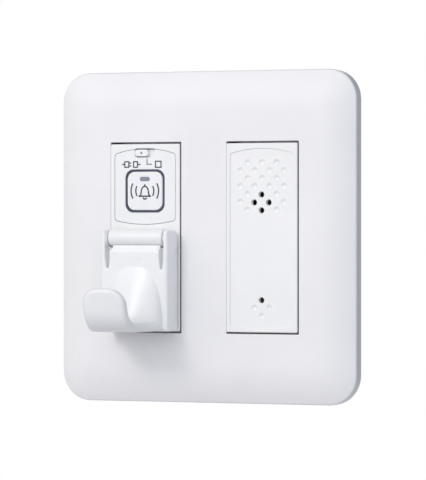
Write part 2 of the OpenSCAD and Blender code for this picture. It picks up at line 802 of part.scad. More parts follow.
module board_screws(places) color("silver")
    for (p = places) translate([p[0], 0, p[1]]) {
        rod_y(board_screw_head_r, board_rear_y, board_rear_y + board_screw_head_h);
        rod_y(board_screw_r, board_rear_y - board_screw_l, board_rear_y);
    }

module barrel_profile() difference() {
    union() {
        translate([0, -barrel_half_l]) square([barrel_r - barrel_end_r, 2 * barrel_half_l]);
        translate([0, barrel_end_r - barrel_half_l])
            square([barrel_r, 2 * (barrel_half_l - barrel_end_r)]);
        for (s = [-1, 1]) translate([barrel_r - barrel_end_r, s * (barrel_half_l - barrel_end_r)])
            circle(r = barrel_end_r);
    }
    translate([-barrel_r, -barrel_half_l - cut]) square([barrel_r, 2 * (barrel_half_l + cut)]);
}

module call_front() color("white") at_call() difference() {
    union() {
        front_shell();
        board_bosses(call_screws);
        translate([0, hinge_y, hinge_z]) {
            rotate([0, 90, 0]) rotate_extrude() barrel_profile();
            translate([-web_w / 2, 0, -web_t / 2]) cube([web_w, hinge_reach + play, web_t]);
        }
    }
    board_pilots(call_screws);
    translate([0, hinge_y, hinge_z]) rod_x(shaft_r + shaft_clearance, barrel_half_l + cut);
    slab(face_y - cut, panel_floor_y)
        arched_panel(panel_half_w, panel_top, panel_bottom, panel_top_sag, panel_bottom_sag,
            panel_corner_r, panel_gap);
    translate([0, 0, button_z]) slab(face_y, face_rear_y + cut)
        rounded_rect(ring_size - 2 * ring_w, ring_size - 2 * ring_w, ring_r - ring_w);
    translate([0, 0, knob_z]) {
        slab(face_y - cut, panel_floor_y) square([knob_slot_w, knob_slot_h], center = true);
        slab(face_y, face_rear_y + cut)
            square([neck_w + knob_travel + 2 * slide_gap, neck_h + 2 * slide_gap], center = true);
    }
    translate([0, 0, jack_z]) slab(face_y - cut, face_rear_y + cut)
        square([jack_pocket_w + 2 * jack_window_lip, jack_pocket_h + 2 * jack_window_lip], center = true);
}

module label_panel() color("white") at_call() difference() {
    slab(face_y, panel_floor_y)
        arched_panel(panel_half_w, panel_top, panel_bottom, panel_top_sag, panel_bottom_sag, panel_corner_r);
    translate([0, 0, button_z]) slab(face_y - cut, panel_floor_y + cut)
        rounded_rect(ring_size + 2 * panel_gap, ring_size + 2 * panel_gap, ring_r + panel_gap);
    translate([-knob_slot_w / 2, face_y - cut, knob_z - knob_slot_h / 2])
        cube([knob_slot_w, panel_t + 2 * cut, knob_slot_h + cut]);
}

module button_ring() color("midnightblue") at_call() translate([0, 0, button_z]) difference() {
    slab(face_y - play, panel_floor_y) rounded_rect(ring_size, ring_size, ring_r);
    slab(face_y - cut, panel_floor_y + cut)
        rounded_rect(ring_size - 2 * ring_w, ring_size - 2 * ring_w, ring_r - ring_w);
}

// Rear shell of a module, open to the front, with latch nubs, screw bosses and a terminal opening
module rear_housing() difference() {
    union() {
        difference() {
            slab(housing_front_y, housing_depth) square([housing_w, housing_h], center = true);
            slab(housing_front_y - cut, housing_depth - housing_wall)
                square([housing_w - 2 * housing_wall, housing_h - 2 * housing_wall], center = true);
        }
        for (s = [-1, 1]) {
            translate([0, 0, s * (housing_h / 2)]) slab(latch_y, latch_y + latch_t)
                square([latch_w, 2 * latch_proud], center = true);
            translate([0, 0, s * (housing_h / 2 - housing_wall - clip_boss_h / 2)])
                slab(clip_screw_y - clip_boss / 2, clip_screw_y + clip_boss / 2)
                    square([clip_boss, clip_boss_h + 2 * play], center = true);
        }
    }
    translate([0, clip_screw_y, 0])
        cylinder(r = clip_screw_r + play, h = housing_h + 2 * cut, center = true);
    translate([0, 0, terminal_z]) slab(housing_depth - housing_wall - cut, housing_depth + cut)
        square([terminal_w + 2 * terminal_gap, terminal_h + 2 * terminal_gap], center = true);
}

module call_housing() color("lightgrey") at_call() rear_housing();
module intercom_housing() color("lightgrey") at_intercom() rear_housing();

// Bare board with screw holes and the holes for the terminal pins
module bare_board(places) difference() {
    slab(board_y, board_rear_y) square([board_w, board_h], center = true);
    for (p = places) translate([p[0], 0, p[1]])
        rod_y(board_screw_r + screw_play, board_y - cut, board_rear_y + cut);
    at_terminals() rod_y(pin_hole_r, board_y - cut, board_rear_y + cut);
}

module at_terminals()
    for (i = [0 : terminal_count - 1])
        translate([(i - (terminal_count - 1) / 2) * terminal_pitch, 0, terminal_z]) children();

module at_contacts()
    for (i = [0 : jack_count - 1])
        translate([(i - (jack_count - 1) / 2) * jack_contact_pitch, 0, jack_z + jack_pocket_h / 2])
            children();

module call_board() color("seagreen") at_call() difference() {
    bare_board(call_screws);
    at_contacts() rod_y(pin_hole_r, board_y - cut, board_rear_y + cut);
}

module call_board_screws() at_call() board_screws(call_screws);

module call_lamp() color("lightyellow") at_call() translate([0, 0, lamp_z])
    slab(board_y - lamp_body_t, board_y) square([lamp_body_w, lamp_body_h], center = true);

module tact_switch_body() color("dimgray") at_call() translate([0, 0, button_z]) difference() {
    slab(tact_front_y, board_y) square([tact_size, tact_size], center = true);
    rod_y(plunger_r + plunger_gap, tact_front_y - cut, tact_front_y + plunger_in + button_travel + play);
}

module tact_plunger() color("black") at_call() translate([0, 0, button_z])
    rod_y(plunger_r, plunger_front_y, tact_front_y + plunger_in);

module slide_switch_body() color("dimgray") at_call() translate([0, 0, slide_switch_z]) difference() {
    slab(slide_front_y, board_y) square([slide_body_w, slide_body_h], center = true);
    slab(slide_front_y - cut, slide_front_y + actuator_in + slide_gap)
        square([actuator_w + knob_travel + 2 * slide_gap, actuator_h + slide_gap], center = true);
}

module slide_actuator() color("black") at_call() translate([knob_rest_x, 0, slide_switch_z])
    slab(slide_front_y - actuator_out, slide_front_y + actuator_in)
        square([actuator_w, actuator_h], center = true);

module slide_knob() color("white") at_call() translate([knob_rest_x, 0, 0]) {
    translate([0, 0, knob_z]) {
        difference() {
            slab(face_y - knob_proud, panel_floor_y - slide_gap)
                rounded_rect(knob_w, knob_h, (knob_slot_h - knob_h) / 2);
            rod_y(dot_mark_r, face_y - knob_proud - cut, face_y - knob_proud + dot_mark_r);
        }
        slab(panel_floor_y - slide_gap - play, carrier_y + play) square([neck_w, neck_h], center = true);
        slab(carrier_y, carrier_y + carrier_t) square([carrier_w, carrier_h], center = true);
    }
    translate([0, 0, slide_switch_z]) difference() {
        slab(carrier_y, slide_front_y - actuator_out + fork_grip)
            square([actuator_w + 2 * (fork_wall + screw_play), actuator_h + 2 * (fork_wall + screw_play)],
                center = true);
        slab(slide_front_y - actuator_out, slide_front_y)
            square([actuator_w + 2 * screw_play, actuator_h + 2 * screw_play], center = true);
    }
}

module call_button() color("white") at_call() translate([0, 0, button_z]) difference() {
    union() {
        slab(face_y - cap_proud, flange_y + play) rounded_rect(cap_size, cap_size, cap_r);
        slab(flange_y, flange_rear_y)
            rounded_rect(cap_size + 2 * flange_w, cap_size + 2 * flange_w, cap_r + flange_w);
        rod_y(stem_r, flange_rear_y - play, plunger_front_y);
    }
    translate([0, 0, lamp_rise]) slab(face_y - cap_proud - cut, flange_rear_y + cut)
        pill(lamp_w + 2 * play, lamp_h + 2 * play);
}

module button_lamp_window() color("slategray") at_call() translate([0, 0, lamp_z])
    slab(face_y - cap_proud, pipe_end_y) pill(lamp_w, lamp_h);

// Ring of points round a coil's wire at one step along the coil
function coil_ring(k, r, wire_r, rise, steps, sides, y0) =
    let (a = 360 * k / steps)
    [for (j = [0 : sides - 1]) let (b = 360 * j / sides, q = r + wire_r * cos(b))
        [q * cos(a), y0 + rise * k + wire_r * sin(b), q * sin(a)]];

// Coil whose axis runs along Y, as one unbroken tube with closed ends
module coil(r, wire_r, y0, y1, turns, steps, sides) {
    last = turns * steps;
    rise = (y1 - y0 - 2 * wire_r) / last;
    points = [for (k = [0 : last]) each coil_ring(k, r, wire_r, rise, steps, sides, y0 + wire_r)];
    walls = [for (k = [0 : last - 1], j = [0 : sides - 1])
        let (a = k * sides + j, b = k * sides + (j + 1) % sides) each
            [[a, a + sides, b + sides], [a, b + sides, b]]];
    caps = [for (j = [1 : sides - 2]) each
        [[0, j, j + 1], [last * sides, last * sides + j + 1, last * sides + j]]];
    polyhedron(points = points, faces = concat(walls, caps));
}

module button_spring() color("silver") at_call() translate([0, 0, button_z])
    coil(spring_r, spring_wire_r, flange_rear_y, tact_front_y, spring_turns, spring_steps, spring_sides);

module jack_body() color("dimgray") at_call() difference() {
    translate([0, 0, jack_z]) difference() {
        slab(face_rear_y, jack_rear_y) square([jack_w, jack_h], center = true);
        slab(face_rear_y - cut, face_rear_y + jack_pocket_d)
            square([jack_pocket_w, jack_pocket_h], center = true);
    }
    at_contacts() slab(face_rear_y + contact_set_back - play, jack_rear_y + cut)
        square([contact_w + 2 * play, contact_t + 2 * play], center = true);
}

module jack_contacts() color("gold") at_call() at_contacts()
    slab(face_rear_y + contact_set_back, board_rear_y + contact_tail)
        square([contact_w, contact_t], center = true);

module call_relay() color("royalblue") at_call() translate([0, 0, relay_z])
    slab(board_rear_y, board_rear_y + relay_t) square([relay_w, relay_h], center = true);

module terminal_block() difference() {
    translate([0, 0, terminal_z]) slab(board_rear_y, terminal_rear_y)
        square([terminal_w, terminal_h], center = true);
    at_terminals() {
        rod_y(pin_hole_r, board_rear_y - cut, chamber_y + cut);
        slab(chamber_y, chamber_y + chamber_l) square([chamber_w, chamber_h], center = true);
        rod_y(wire_entry_r, chamber_y, terminal_rear_y + cut);
    }
}

module terminal_clamps() at_terminals() difference() {
    union() {
        slab(chamber_y, chamber_y + chamber_l - clamp_play)
            square([chamber_w - clamp_play, chamber_h - clamp_play], center = true);
        rod_y(clamp_pin_r, board_y - clamp_pin_out, chamber_y + play);
    }
    rod_y(clamp_bore_r, chamber_y + chamber_l - clamp_bore_l, chamber_y + chamber_l + cut);
}

module call_terminal_block() color("darkseagreen") at_call() terminal_block();
module call_terminal_clamps() color("goldenrod") at_call() terminal_clamps();
module intercom_terminal_block() color("darkseagreen") at_intercom() terminal_block();
module intercom_terminal_clamps() color("goldenrod") at_intercom() terminal_clamps();

// Side outline of the cover without its hook, with the rear top corner round so that it swings clear
module cover_side() {
    y0 = cover_front_y;
    y1 = cheek_rear_y;
    translate([y0, cover_bottom_z]) square([y1 - y0, cover_drop]);
    translate([y0, hinge_z - cut]) square([y1 - y0 - cheek_rise, cheek_rise + cut - cover_edge_r]);
    translate([y0 + cover_edge_r, hinge_z - cut])
        square([y1 - y0 - cheek_rise - cover_edge_r, cheek_rise + cut]);
    translate([y0 + cover_edge_r, cover_top_z - cover_edge_r]) circle(r = cover_edge_r);
    translate([y1 - cheek_rise, hinge_z]) circle(r = cheek_rise);
}

// Plan outline of the cover: a channel that is open to the wall
module cover_plan() difference() {
    union() {
        translate([-cover_half_w, cover_front_y + cover_edge_r])
            square([2 * cover_half_w, cheek_rear_y - cover_front_y - cover_edge_r]);
        translate([cover_edge_r - cover_half_w, cover_front_y])
            square([2 * (cover_half_w - cover_edge_r), 2 * cover_edge_r]);
        for (s = [-1, 1]) translate([s * (cover_half_w - cover_edge_r), cover_front_y + cover_edge_r])
            circle(r = cover_edge_r);
    }
    translate([-cheek_in_x, cover_inner_y])
        square([2 * cheek_in_x, cheek_rear_y - cover_inner_y + cut]);
}

// One slit beside the tongue: straight outer side, inner side curving to a point
module slit() intersection() {
    translate([tongue_half_w, slit_bend_z - slit_curve])
        square([slit_w, tongue_top_z - slit_bend_z + slit_curve + cut]);
    union() {
        translate([tongue_half_w, slit_bend_z])
            square([slit_w, tongue_top_z - slit_bend_z + cut]);
        translate([tongue_half_w + slit_r, slit_bend_z]) circle(r = slit_r);
    }
}

// Side outline of the hook: floor, bend and leaning lip
module hook_side() {
    root_y = cover_front_y + root_sink;
    offset(r = hook_edge_r) offset(delta = -hook_edge_r) difference() {
        union() {
            translate([bend_y, bend_z]) circle(r = hook_bend_r);
            polygon([
                [bend_y, hook_bottom_z], [root_y, hook_bottom_z], [root_y, hook_top_z],
                [cover_front_y, hook_lip_top_z], [hook_front_y, hook_lip_top_z],
                [bend_y - hook_bend_r * cos(hook_lean), bend_z - hook_bend_r * sin(hook_lean)],
                [bend_y, bend_z]
            ]);
        }
        intersection() {
            offset(r = hook_fillet_r) offset(delta = -hook_fillet_r) polygon([
                [hook_corner_y, hook_floor_z],
                [root_y + hook_reach, hook_floor_z],
                [root_y + hook_reach, cover_top_z],
                [hook_corner_y - (cover_top_z - hook_floor_z) * tan(hook_lean), cover_top_z]
            ]);
            offset(r = root_fillet_r) offset(delta = -root_fillet_r) polygon([
                [hook_front_y - hook_reach, hook_floor_z],
                [cover_front_y, hook_floor_z],
                [cover_front_y, cover_top_z],
                [hook_front_y - hook_reach, cover_top_z]
            ]);
        }
    }
}

// Front outline of the root: an arch that widens downwards
module root_front() {
    translate([0, hook_top_z - root_arch_r]) circle(r = root_arch_r);
    translate([-root_half_w, hook_bottom_z])
        square([2 * root_half_w, hook_top_z - root_arch_r - hook_bottom_z]);
}

// Front outline of the lip and the front of the floor
module lip_front() {
    translate([0, hook_bottom_z + lip_h / 2]) rounded_rect(2 * hook_lip_half_w, lip_h, hook_lip_r);
    translate([-hook_lip_half_w, hook_bottom_z]) square([2 * hook_lip_half_w, lip_h / 2]);
}

// Plan outline of the hook: it narrows towards the lip
module hook_plan() polygon([
    [-root_half_w, cover_front_y + root_sink], [root_half_w, cover_front_y + root_sink],
    [root_half_w, cover_front_y], [hook_lip_half_w, hook_lip_in_y], [hook_lip_half_w, hook_front_y],
    [-hook_lip_half_w, hook_front_y], [-hook_lip_half_w, hook_lip_in_y], [-root_half_w, cover_front_y]
]);

// Half width of the swollen root at a share of the way down
function root_half(t) = root_half_w * pow(1 - pow(1 - t, root_arch_share), 1 / root_arch_share);

// Plan outline of the swollen root: a rounded crown in front of the cover
module root_crown(half_w, swell) polygon(concat(
    [[half_w, root_sink], [-half_w, root_sink]],
    [for (k = [root_crown_steps : -1 : 0]) let (a = 180 * k / root_crown_steps)
        [half_w * sign(cos(a)) * pow(abs(cos(a)), root_crown_share), -swell * pow(sin(a), root_crown_share)]]
));

// Root as a half cone that widens and swells downwards
module hook_root() hull() for (k = [0 : root_steps]) {
    t = max(pow(k / root_steps, 2), root_tip_share);
    z = hook_top_z + (hook_bottom_z - hook_top_z) * t;
    swell = root_swell * min((hook_top_z - z) / (hook_top_z - hook_floor_z), 1);
    translate([0, cover_front_y, z]) linear_extrude(height = root_slice_t) root_crown(root_half(t), swell);
}

module hook() {
    intersection() {
        extrude_side(root_half_w) hook_side();
        translate([0, 0, hook_bottom_z]) linear_extrude(height = hook_top_z - hook_bottom_z) hook_plan();
        union() {
            slab(hook_split_y, cover_front_y + root_sink) root_front();
            slab(hook_front_y, hook_split_y) lip_front();
        }
    }
    hook_root();
}

module hook_cover() color("white") at_call() difference() {
    union() {
        intersection() {
            extrude_side(cover_half_w) cover_side();
            translate([0, 0, cover_bottom_z]) linear_extrude(height = cover_top_z - cover_bottom_z)
                cover_plan();
        }
        for (s = [-1, 1]) translate([s * (cheek_in_x + pivot_in_x) / 2, hinge_y, hinge_z])
            rod_x(pivot_pad_r, (cheek_in_x - pivot_in_x) / 2 + play);
        hook();
    }
    translate([-cheek_in_x, cover_front_y - cut, tongue_top_z])
        cube([2 * cheek_in_x, cover_front_t + 2 * cut, cover_top_z - tongue_top_z + cut]);
    slab(cover_front_y - cut, cover_inner_y + cut) for (s = [0, 1]) mirror([s, 0]) {
        slit();
        translate([tongue_half_w - notch_w, tongue_top_z - notch_h])
            square([notch_w + cut, notch_h + cut]);
    }
    translate([0, hinge_y, hinge_z]) rod_x(shaft_r + shaft_seat, shaft_half_l + play);
}

module hinge_shaft() color("silver") at_call() translate([0, hinge_y, hinge_z])
    rod_x(shaft_r, shaft_half_l);

// Calls its children at each dot of the diamond grid, through or blind
module dots(through)
    for (j = [0 : dot_rows - 1], i = [-dot_side_count : dot_side_count])
        if ((i + j) % 2 == 0 && (abs(i) + abs(j - hole_row_count) <= 1) == through)
            translate([i * dot_step, 0, dots_top - j * dot_step]) children();

module mic_dots() for (p = [[-1, 1], [1, 1], [0, 2]])
    translate([p[0] * dot_step, 0, mic_z - p[1] * dot_step]) children();

module intercom_front() color("white") at_intercom() difference() {
    union() {
        front_shell();
        board_bosses(intercom_screws);
        for (s = [-1, 1]) translate([0, 0, speaker_z + s * bracket_screw_z])
            rod_y(boss_r, face_rear_y - play, bracket_y);
        translate([0, 0, mic_z]) rod_y(boot_r + play + mic_ring_wall, face_rear_y - play,
            face_rear_y + boot_l);
    }
    board_pilots(intercom_screws);
    for (s = [-1, 1]) translate([0, 0, speaker_z + s * bracket_screw_z])
        rod_y(board_screw_r + play, bracket_y - bracket_screw_l, bracket_y + cut);
    slab(face_y - cut, face_y + grille_depth)
        arched_panel(grille_half_w, grille_top, grille_bottom, grille_sag, grille_sag, panel_corner_r);
    dots(true) rod_y(dot_r, face_y, face_rear_y + cut);
    dots(false) rod_y(dot_r, face_y, face_y + grille_depth + dot_depth);
    mic_dots() rod_y(dot_r, face_y, face_y + grille_depth + dot_depth);
    translate([0, 0, mic_z]) {
        rod_y(dot_r, face_y, face_rear_y + cut);
        rod_y(boot_r + play, face_rear_y, face_rear_y + boot_l + cut);
    }
}

// Turns a profile of radius and depth about the speaker's axis, front first
module turned() at_intercom() translate([0, speaker_y, speaker_z]) rotate([-90, 0, 0])
    rotate_extrude() children();

module speaker_gasket() color("dimgray") at_intercom() translate([0, 0, speaker_z]) difference() {
    rod_y(speaker_r, face_rear_y, speaker_y);
    rod_y(speaker_r - speaker_rim_w, face_rear_y - cut, speaker_y + cut);
}

module speaker_basket() color("gray") turned() polygon([
    [speaker_r - speaker_rim_w, 0], [speaker_r, 0], [speaker_r, speaker_rim_t],
    [speaker_r - speaker_rim_w + basket_wall, speaker_rim_t],
    [yoke_r + play + basket_wall, basket_depth], [yoke_r + play, basket_depth],
    [yoke_r + play, yoke_front], [speaker_r - speaker_rim_w, speaker_rim_t]
]);

module speaker_cone() color("black") turned() polygon([
    [0, coil_top - cap_dome - cone_t], [coil_in_r, coil_top - cone_t],
    [speaker_r - speaker_rim_w - play, cone_edge - cone_t],
    [speaker_r - speaker_rim_w - play, cone_edge], [coil_in_r, coil_top], [0, coil_top - cap_dome]
]);

module speaker_coil() color("peru") turned()
    translate([coil_in_r, coil_top + play]) square([coil_wall, coil_h]);

module speaker_magnet() color("darkslategray") turned() {
    translate([0, yoke_rear - yoke_floor - magnet_h]) square([magnet_r, magnet_h]);
    translate([0, yoke_rear - yoke_floor - magnet_h - pole_h]) square([pole_r, pole_h]);
}

module speaker_yoke() color("silver") turned() difference() {
    translate([0, yoke_front]) square([yoke_r, yoke_h]);
    translate([0, yoke_front - cut]) square([yoke_r - yoke_wall, yoke_h - yoke_floor + cut]);
}

module speaker_bracket() color("lightsteelblue") at_intercom() translate([0, 0, speaker_z]) difference() {
    slab(bracket_y, bracket_y + bracket_t)
        pill_upright(2 * (bracket_screw_z + bracket_end), bracket_w);
    for (s = [-1, 1]) translate([0, 0, s * bracket_screw_z])
        rod_y(board_screw_r + screw_play, bracket_y - cut, bracket_y + bracket_t + cut);
}

module pill_upright(h, w) {
    square([w, h - w], center = true);
    for (s = [-1, 1]) translate([0, s * (h - w) / 2]) circle(r = w / 2);
}

module speaker_bracket_screws() color("silver") at_intercom()
    for (s = [-1, 1]) translate([0, 0, speaker_z + s * bracket_screw_z]) {
        rod_y(bracket_screw_head_r, bracket_y + bracket_t, bracket_y + bracket_t + bracket_screw_head_h);
        rod_y(board_screw_r, bracket_y + bracket_t - bracket_screw_l, bracket_y + bracket_t);
    }

module mic_boot() color("dimgray") at_intercom() translate([0, 0, mic_z]) difference() {
    rod_y(boot_r, face_rear_y, face_rear_y + boot_l);
    rod_y(mic_r + play, face_rear_y + boot_front_t, face_rear_y + boot_l + cut);
    rod_y(dot_r, face_rear_y - cut, face_rear_y + boot_front_t + cut);
}

module mic_capsule() color("silver") at_intercom() translate([0, 0, mic_z])
    rod_y(mic_r, face_rear_y + boot_front_t, face_rear_y + boot_front_t + mic_l);

module at_mic_leads() for (s = [-1, 1]) translate([s * mic_lead_x, 0, mic_z]) children();
module at_speaker_leads() for (s = [-1, 1])
    translate([s * speaker_lead_r * sin(speaker_lead_angle), 0,
        speaker_z - speaker_lead_r * cos(speaker_lead_angle)]) children();

module intercom_leads() color("orangered") at_intercom() {
    at_mic_leads() rod_y(lead_r, face_rear_y + boot_front_t + mic_l, board_rear_y);
    at_speaker_leads() rod_y(lead_r, speaker_y + speaker_rim_t, board_rear_y + lead_tail);
}

module intercom_board() color("seagreen") at_intercom() difference() {
    bare_board(intercom_screws);
    at_mic_leads() rod_y(lead_hole_r, board_y - cut, board_rear_y + cut);
    at_speaker_leads() rod_y(lead_hole_r, board_y - cut, board_rear_y + cut);
}

module intercom_board_screws() at_intercom() board_screws(intercom_screws);

module intercom_chip() color("black") at_intercom() translate([0, 0, chip_z])
    slab(board_rear_y, board_rear_y + chip_t) square([chip_w, chip_w], center = true);

module intercom_capacitors() color("midnightblue") at_intercom()
    for (s = [-1, 1]) translate([s * capacitor_x, 0, capacitor_z])
        rod_y(capacitor_r, board_rear_y, board_rear_y + capacitor_l);

cover_plate();
plate_frame();
plate_frame_screws();
mounting_strap();
module_clips();
clip_screws();
call_front();
label_panel();
button_ring();
call_housing();
call_board();
call_board_screws();
call_lamp();
tact_switch_body();
slide_switch_body();
jack_body();
jack_contacts();
call_relay();
call_terminal_block();
call_terminal_clamps();
button_spring();
intercom_front();
intercom_housing();
speaker_gasket();
speaker_basket();
speaker_cone();
speaker_coil();
speaker_magnet();
speaker_yoke();
speaker_bracket();
speaker_bracket_screws();
mic_boot();
mic_capsule();
intercom_leads();
intercom_board();
intercom_board_screws();
intercom_chip();
intercom_capacitors();
intercom_terminal_block();
intercom_terminal_clamps();
call_button();
button_lamp_window();
tact_plunger();
slide_knob();
slide_actuator();
hook_cover();
hinge_shaft();
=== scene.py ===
import math

import bpy
from mathutils import Euler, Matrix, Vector


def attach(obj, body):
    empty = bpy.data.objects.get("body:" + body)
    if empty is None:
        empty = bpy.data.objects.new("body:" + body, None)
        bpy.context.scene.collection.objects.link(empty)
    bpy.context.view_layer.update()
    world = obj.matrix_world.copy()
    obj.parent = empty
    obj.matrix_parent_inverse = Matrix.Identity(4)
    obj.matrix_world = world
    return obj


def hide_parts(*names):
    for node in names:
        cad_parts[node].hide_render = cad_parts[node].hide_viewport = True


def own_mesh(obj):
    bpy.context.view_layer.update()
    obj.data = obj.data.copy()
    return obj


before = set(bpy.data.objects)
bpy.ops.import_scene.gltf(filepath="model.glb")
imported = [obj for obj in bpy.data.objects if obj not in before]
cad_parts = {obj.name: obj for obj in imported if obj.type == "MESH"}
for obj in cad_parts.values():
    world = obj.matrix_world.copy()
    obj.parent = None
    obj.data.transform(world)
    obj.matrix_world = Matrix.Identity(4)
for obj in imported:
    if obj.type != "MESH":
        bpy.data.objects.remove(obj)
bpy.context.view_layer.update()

mm = 0.001
clearFront = -9  # mm, in front of every face of the modules, where a cutter starts
print("frame loaded:", len(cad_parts), "nodes")


# The camera looks from the photograph's angle.
view = {
    "azimuth": 23.869,  # degrees to the right of straight on
    "aside": -0.013,  # degrees, puts the middle of the plate left of the frame's
    "tilt": 0.276,  # degrees downwards
    "distance": 1277.8,  # mm
    "height": 5.05,  # mm above the middle of the plate
    "lens": 264.2, "sensor": 36,  # mm
    "clip": (0.05, 20),  # m
}
cameraData = bpy.data.cameras.new("photoCamera")
camera = bpy.data.objects.new("photoCamera", cameraData)
bpy.context.scene.collection.objects.link(camera)
turn = math.radians(view["azimuth"])
across, back = view["distance"] * math.sin(turn), -view["distance"] * math.cos(turn)
camera.location = Vector((across, back, view["height"])) * mm
camera.rotation_euler = Euler((math.radians(90 - view["tilt"]), 0, math.radians(view["azimuth"] + view["aside"])))
cameraData.lens = view["lens"]
cameraData.sensor_width = view["sensor"]
cameraData.clip_start, cameraData.clip_end = view["clip"]
bpy.context.scene.camera = camera
bpy.context.scene.view_settings.view_transform = "Standard"


studio = {
    "room": (0.864, 0.866, 0.876),  # the tent's light on matt surfaces, and its shares to each side
    "front": (1, 1, 1), "behind": (0.008, 0.02, 0.055), "tentEdge": (-0.32, 0.04),
    "below": (0.17, 0.27, 0.46), "above": (1.03, 1.025, 1.02), "skyline": (-1.0, 0.06),
    "left": (1.26, 1.235, 1.21), "right": (0.98, 1.03, 1.12),
    "keyPlace": (-195, -679, 360), "keySize": 190, "keyPower": 1.34, "keyTint": (1, 0.968, 0.935),
    "backPlace": (-280, 900, 120), "backSize": 420, "backPower": 3,
    "floorDrop": 300, "floorSize": 3000, "floorPale": 0.78, "floorColour": (0.92, 0.92, 0.93),
}


def softLamp(name, place, size, power, aim=(0, 0, 0), tint=(1, 1, 1)):
    data = bpy.data.lights.new(name, "AREA")
    data.shape, data.size, data.energy, data.color = "SQUARE", size * mm, power, tint
    lamp = bpy.data.objects.new(name, data)
    bpy.context.scene.collection.objects.link(lamp)
    lamp.location = Vector(place) * mm
    lamp.rotation_euler = (Vector(aim) - Vector(place)).to_track_quat("-Z", "Y").to_euler()


def paleRoom():  # a white tent in front and dark behind; the camera and clear pieces see plain white
    world = bpy.data.worlds.new("paleRoom")
    bpy.context.scene.world = world
    world.use_nodes = True
    nodes, links = world.node_tree.nodes, world.node_tree.links
    nodes.clear()
    path, split = nodes.new("ShaderNodeLightPath"), nodes.new("ShaderNodeSeparateXYZ")
    links.new(nodes.new("ShaderNodeTexCoord").outputs["Generated"], split.inputs[0])

    def mixed(first, second, factor=1, how="MIX"):
        mix = nodes.new("ShaderNodeMix")
        mix.data_type, mix.blend_type = "RGBA", how
        for socket, value in ((0, factor), (6, first), (7, second)):
            if isinstance(value, bpy.types.NodeSocket):
                links.new(value, mix.inputs[socket])
            else:
                mix.inputs[socket].default_value = (*value, 1) if socket else value
        return mix.outputs[2]

    def fading(axis, start, end, first, second):
        span = nodes.new("ShaderNodeMapRange")
        span.interpolation_type = "SMOOTHSTEP"
        span.inputs["From Min"].default_value, span.inputs["From Max"].default_value = start, end
        links.new(split.outputs[axis], span.inputs["Value"])
        return mixed(studio[first], studio[second], span.outputs["Result"])

    ahead = fading("Y", *studio["tentEdge"], "front", "behind")
    upright = fading("Z", *studio["skyline"], "below", "above")
    tone = mixed(upright, fading("X", -1, 1, "left", "right"), how="MULTIPLY")
    tone = mixed(mixed(tone, ahead, how="MULTIPLY"), studio["room"], how="MULTIPLY")
    soft, gloss, white = (nodes.new("ShaderNodeBackground") for _ in range(3))
    white.inputs["Color"].default_value = (1, 1, 1, 1)
    links.new(tone, soft.inputs["Color"])
    links.new(ahead, gloss.inputs["Color"])
    seen = nodes.new("ShaderNodeMath")
    seen.operation = "MAXIMUM"
    links.new(path.outputs["Is Camera Ray"], seen.inputs[0])
    links.new(path.outputs["Is Transmission Ray"], seen.inputs[1])
    matt, both = nodes.new("ShaderNodeMixShader"), nodes.new("ShaderNodeMixShader")
    out = nodes.new("ShaderNodeOutputWorld")
    links.new(path.outputs["Is Glossy Ray"], matt.inputs["Fac"])
    links.new(soft.outputs[0], matt.inputs[1])
    links.new(gloss.outputs[0], matt.inputs[2])
    links.new(seen.outputs[0], both.inputs["Fac"])
    links.new(matt.outputs[0], both.inputs[1])
    links.new(white.outputs[0], both.inputs[2])
    links.new(both.outputs[0], out.inputs["Surface"])


paleRoom()
softLamp("keyLamp", studio["keyPlace"], studio["keySize"], studio["keyPower"], tint=studio["keyTint"])
softLamp("backLamp", studio["backPlace"], studio["backSize"], studio["backPower"])  # lights the rear alone
print("studio lit")


# Every finish is a Principled shader with its patterns in Object coordinates.
def startFinish(name):
    finish = bpy.data.materials.new(name)
    finish.use_nodes = True
    nodes, links = finish.node_tree.nodes, finish.node_tree.links
    return finish, nodes, links, nodes["Principled BSDF"], nodes.new("ShaderNodeTexCoord").outputs["Object"]


def stretched(nodes, links, place, stretch, turned=(0, 0, 0)):
    mapping = nodes.new("ShaderNodeMapping")
    mapping.inputs["Scale"].default_value = stretch
    mapping.inputs["Rotation"].default_value = turned
    links.new(place, mapping.inputs["Vector"])
    return mapping.outputs["Vector"]


def grainAt(nodes, links, place, scale, detail=3, roughness=0.5):
    noise = nodes.new("ShaderNodeTexNoise")
    noise.inputs["Scale"].default_value = scale
    noise.inputs["Detail"].default_value = detail
    noise.inputs["Roughness"].default_value = roughness
    links.new(place, noise.inputs["Vector"])
    return noise.outputs["Fac"]


def bandsAt(nodes, links, place, pitch, direction="Y"):  # a wave every pitch mm
    wave = nodes.new("ShaderNodeTexWave")
    wave.bands_direction = direction
    wave.inputs["Scale"].default_value = math.pi / 10 / (pitch * mm)
    links.new(place, wave.inputs["Vector"])
    return wave.outputs["Fac"]


def cellsAt(nodes, links, place, size, output="Color"):  # crystal or pore cells about size mm across
    cells = nodes.new("ShaderNodeTexVoronoi")
    cells.inputs["Scale"].default_value = 1 / (size * mm)
    links.new(place, cells.inputs["Vector"])
    return cells.outputs[output]


def ranged(nodes, links, source, low, high, fromLow=0.3, fromHigh=0.7):
    span = nodes.new("ShaderNodeMapRange")
    for name, value in (("From Min", fromLow), ("From Max", fromHigh), ("To Min", low), ("To Max", high)):
        span.inputs[name].default_value = value
    links.new(source, span.inputs["Value"])
    return span.outputs["Result"]


def toned(nodes, links, factor, first, second):
    mix = nodes.new("ShaderNodeMix")
    mix.data_type = "RGBA"
    links.new(factor, mix.inputs[0])
    for socket, tone in ((6, first), (7, second)):
        if isinstance(tone, tuple):
            mix.inputs[socket].default_value = (*tone, 1)
        else:
            links.new(tone, mix.inputs[socket])
    return mix.outputs[2]


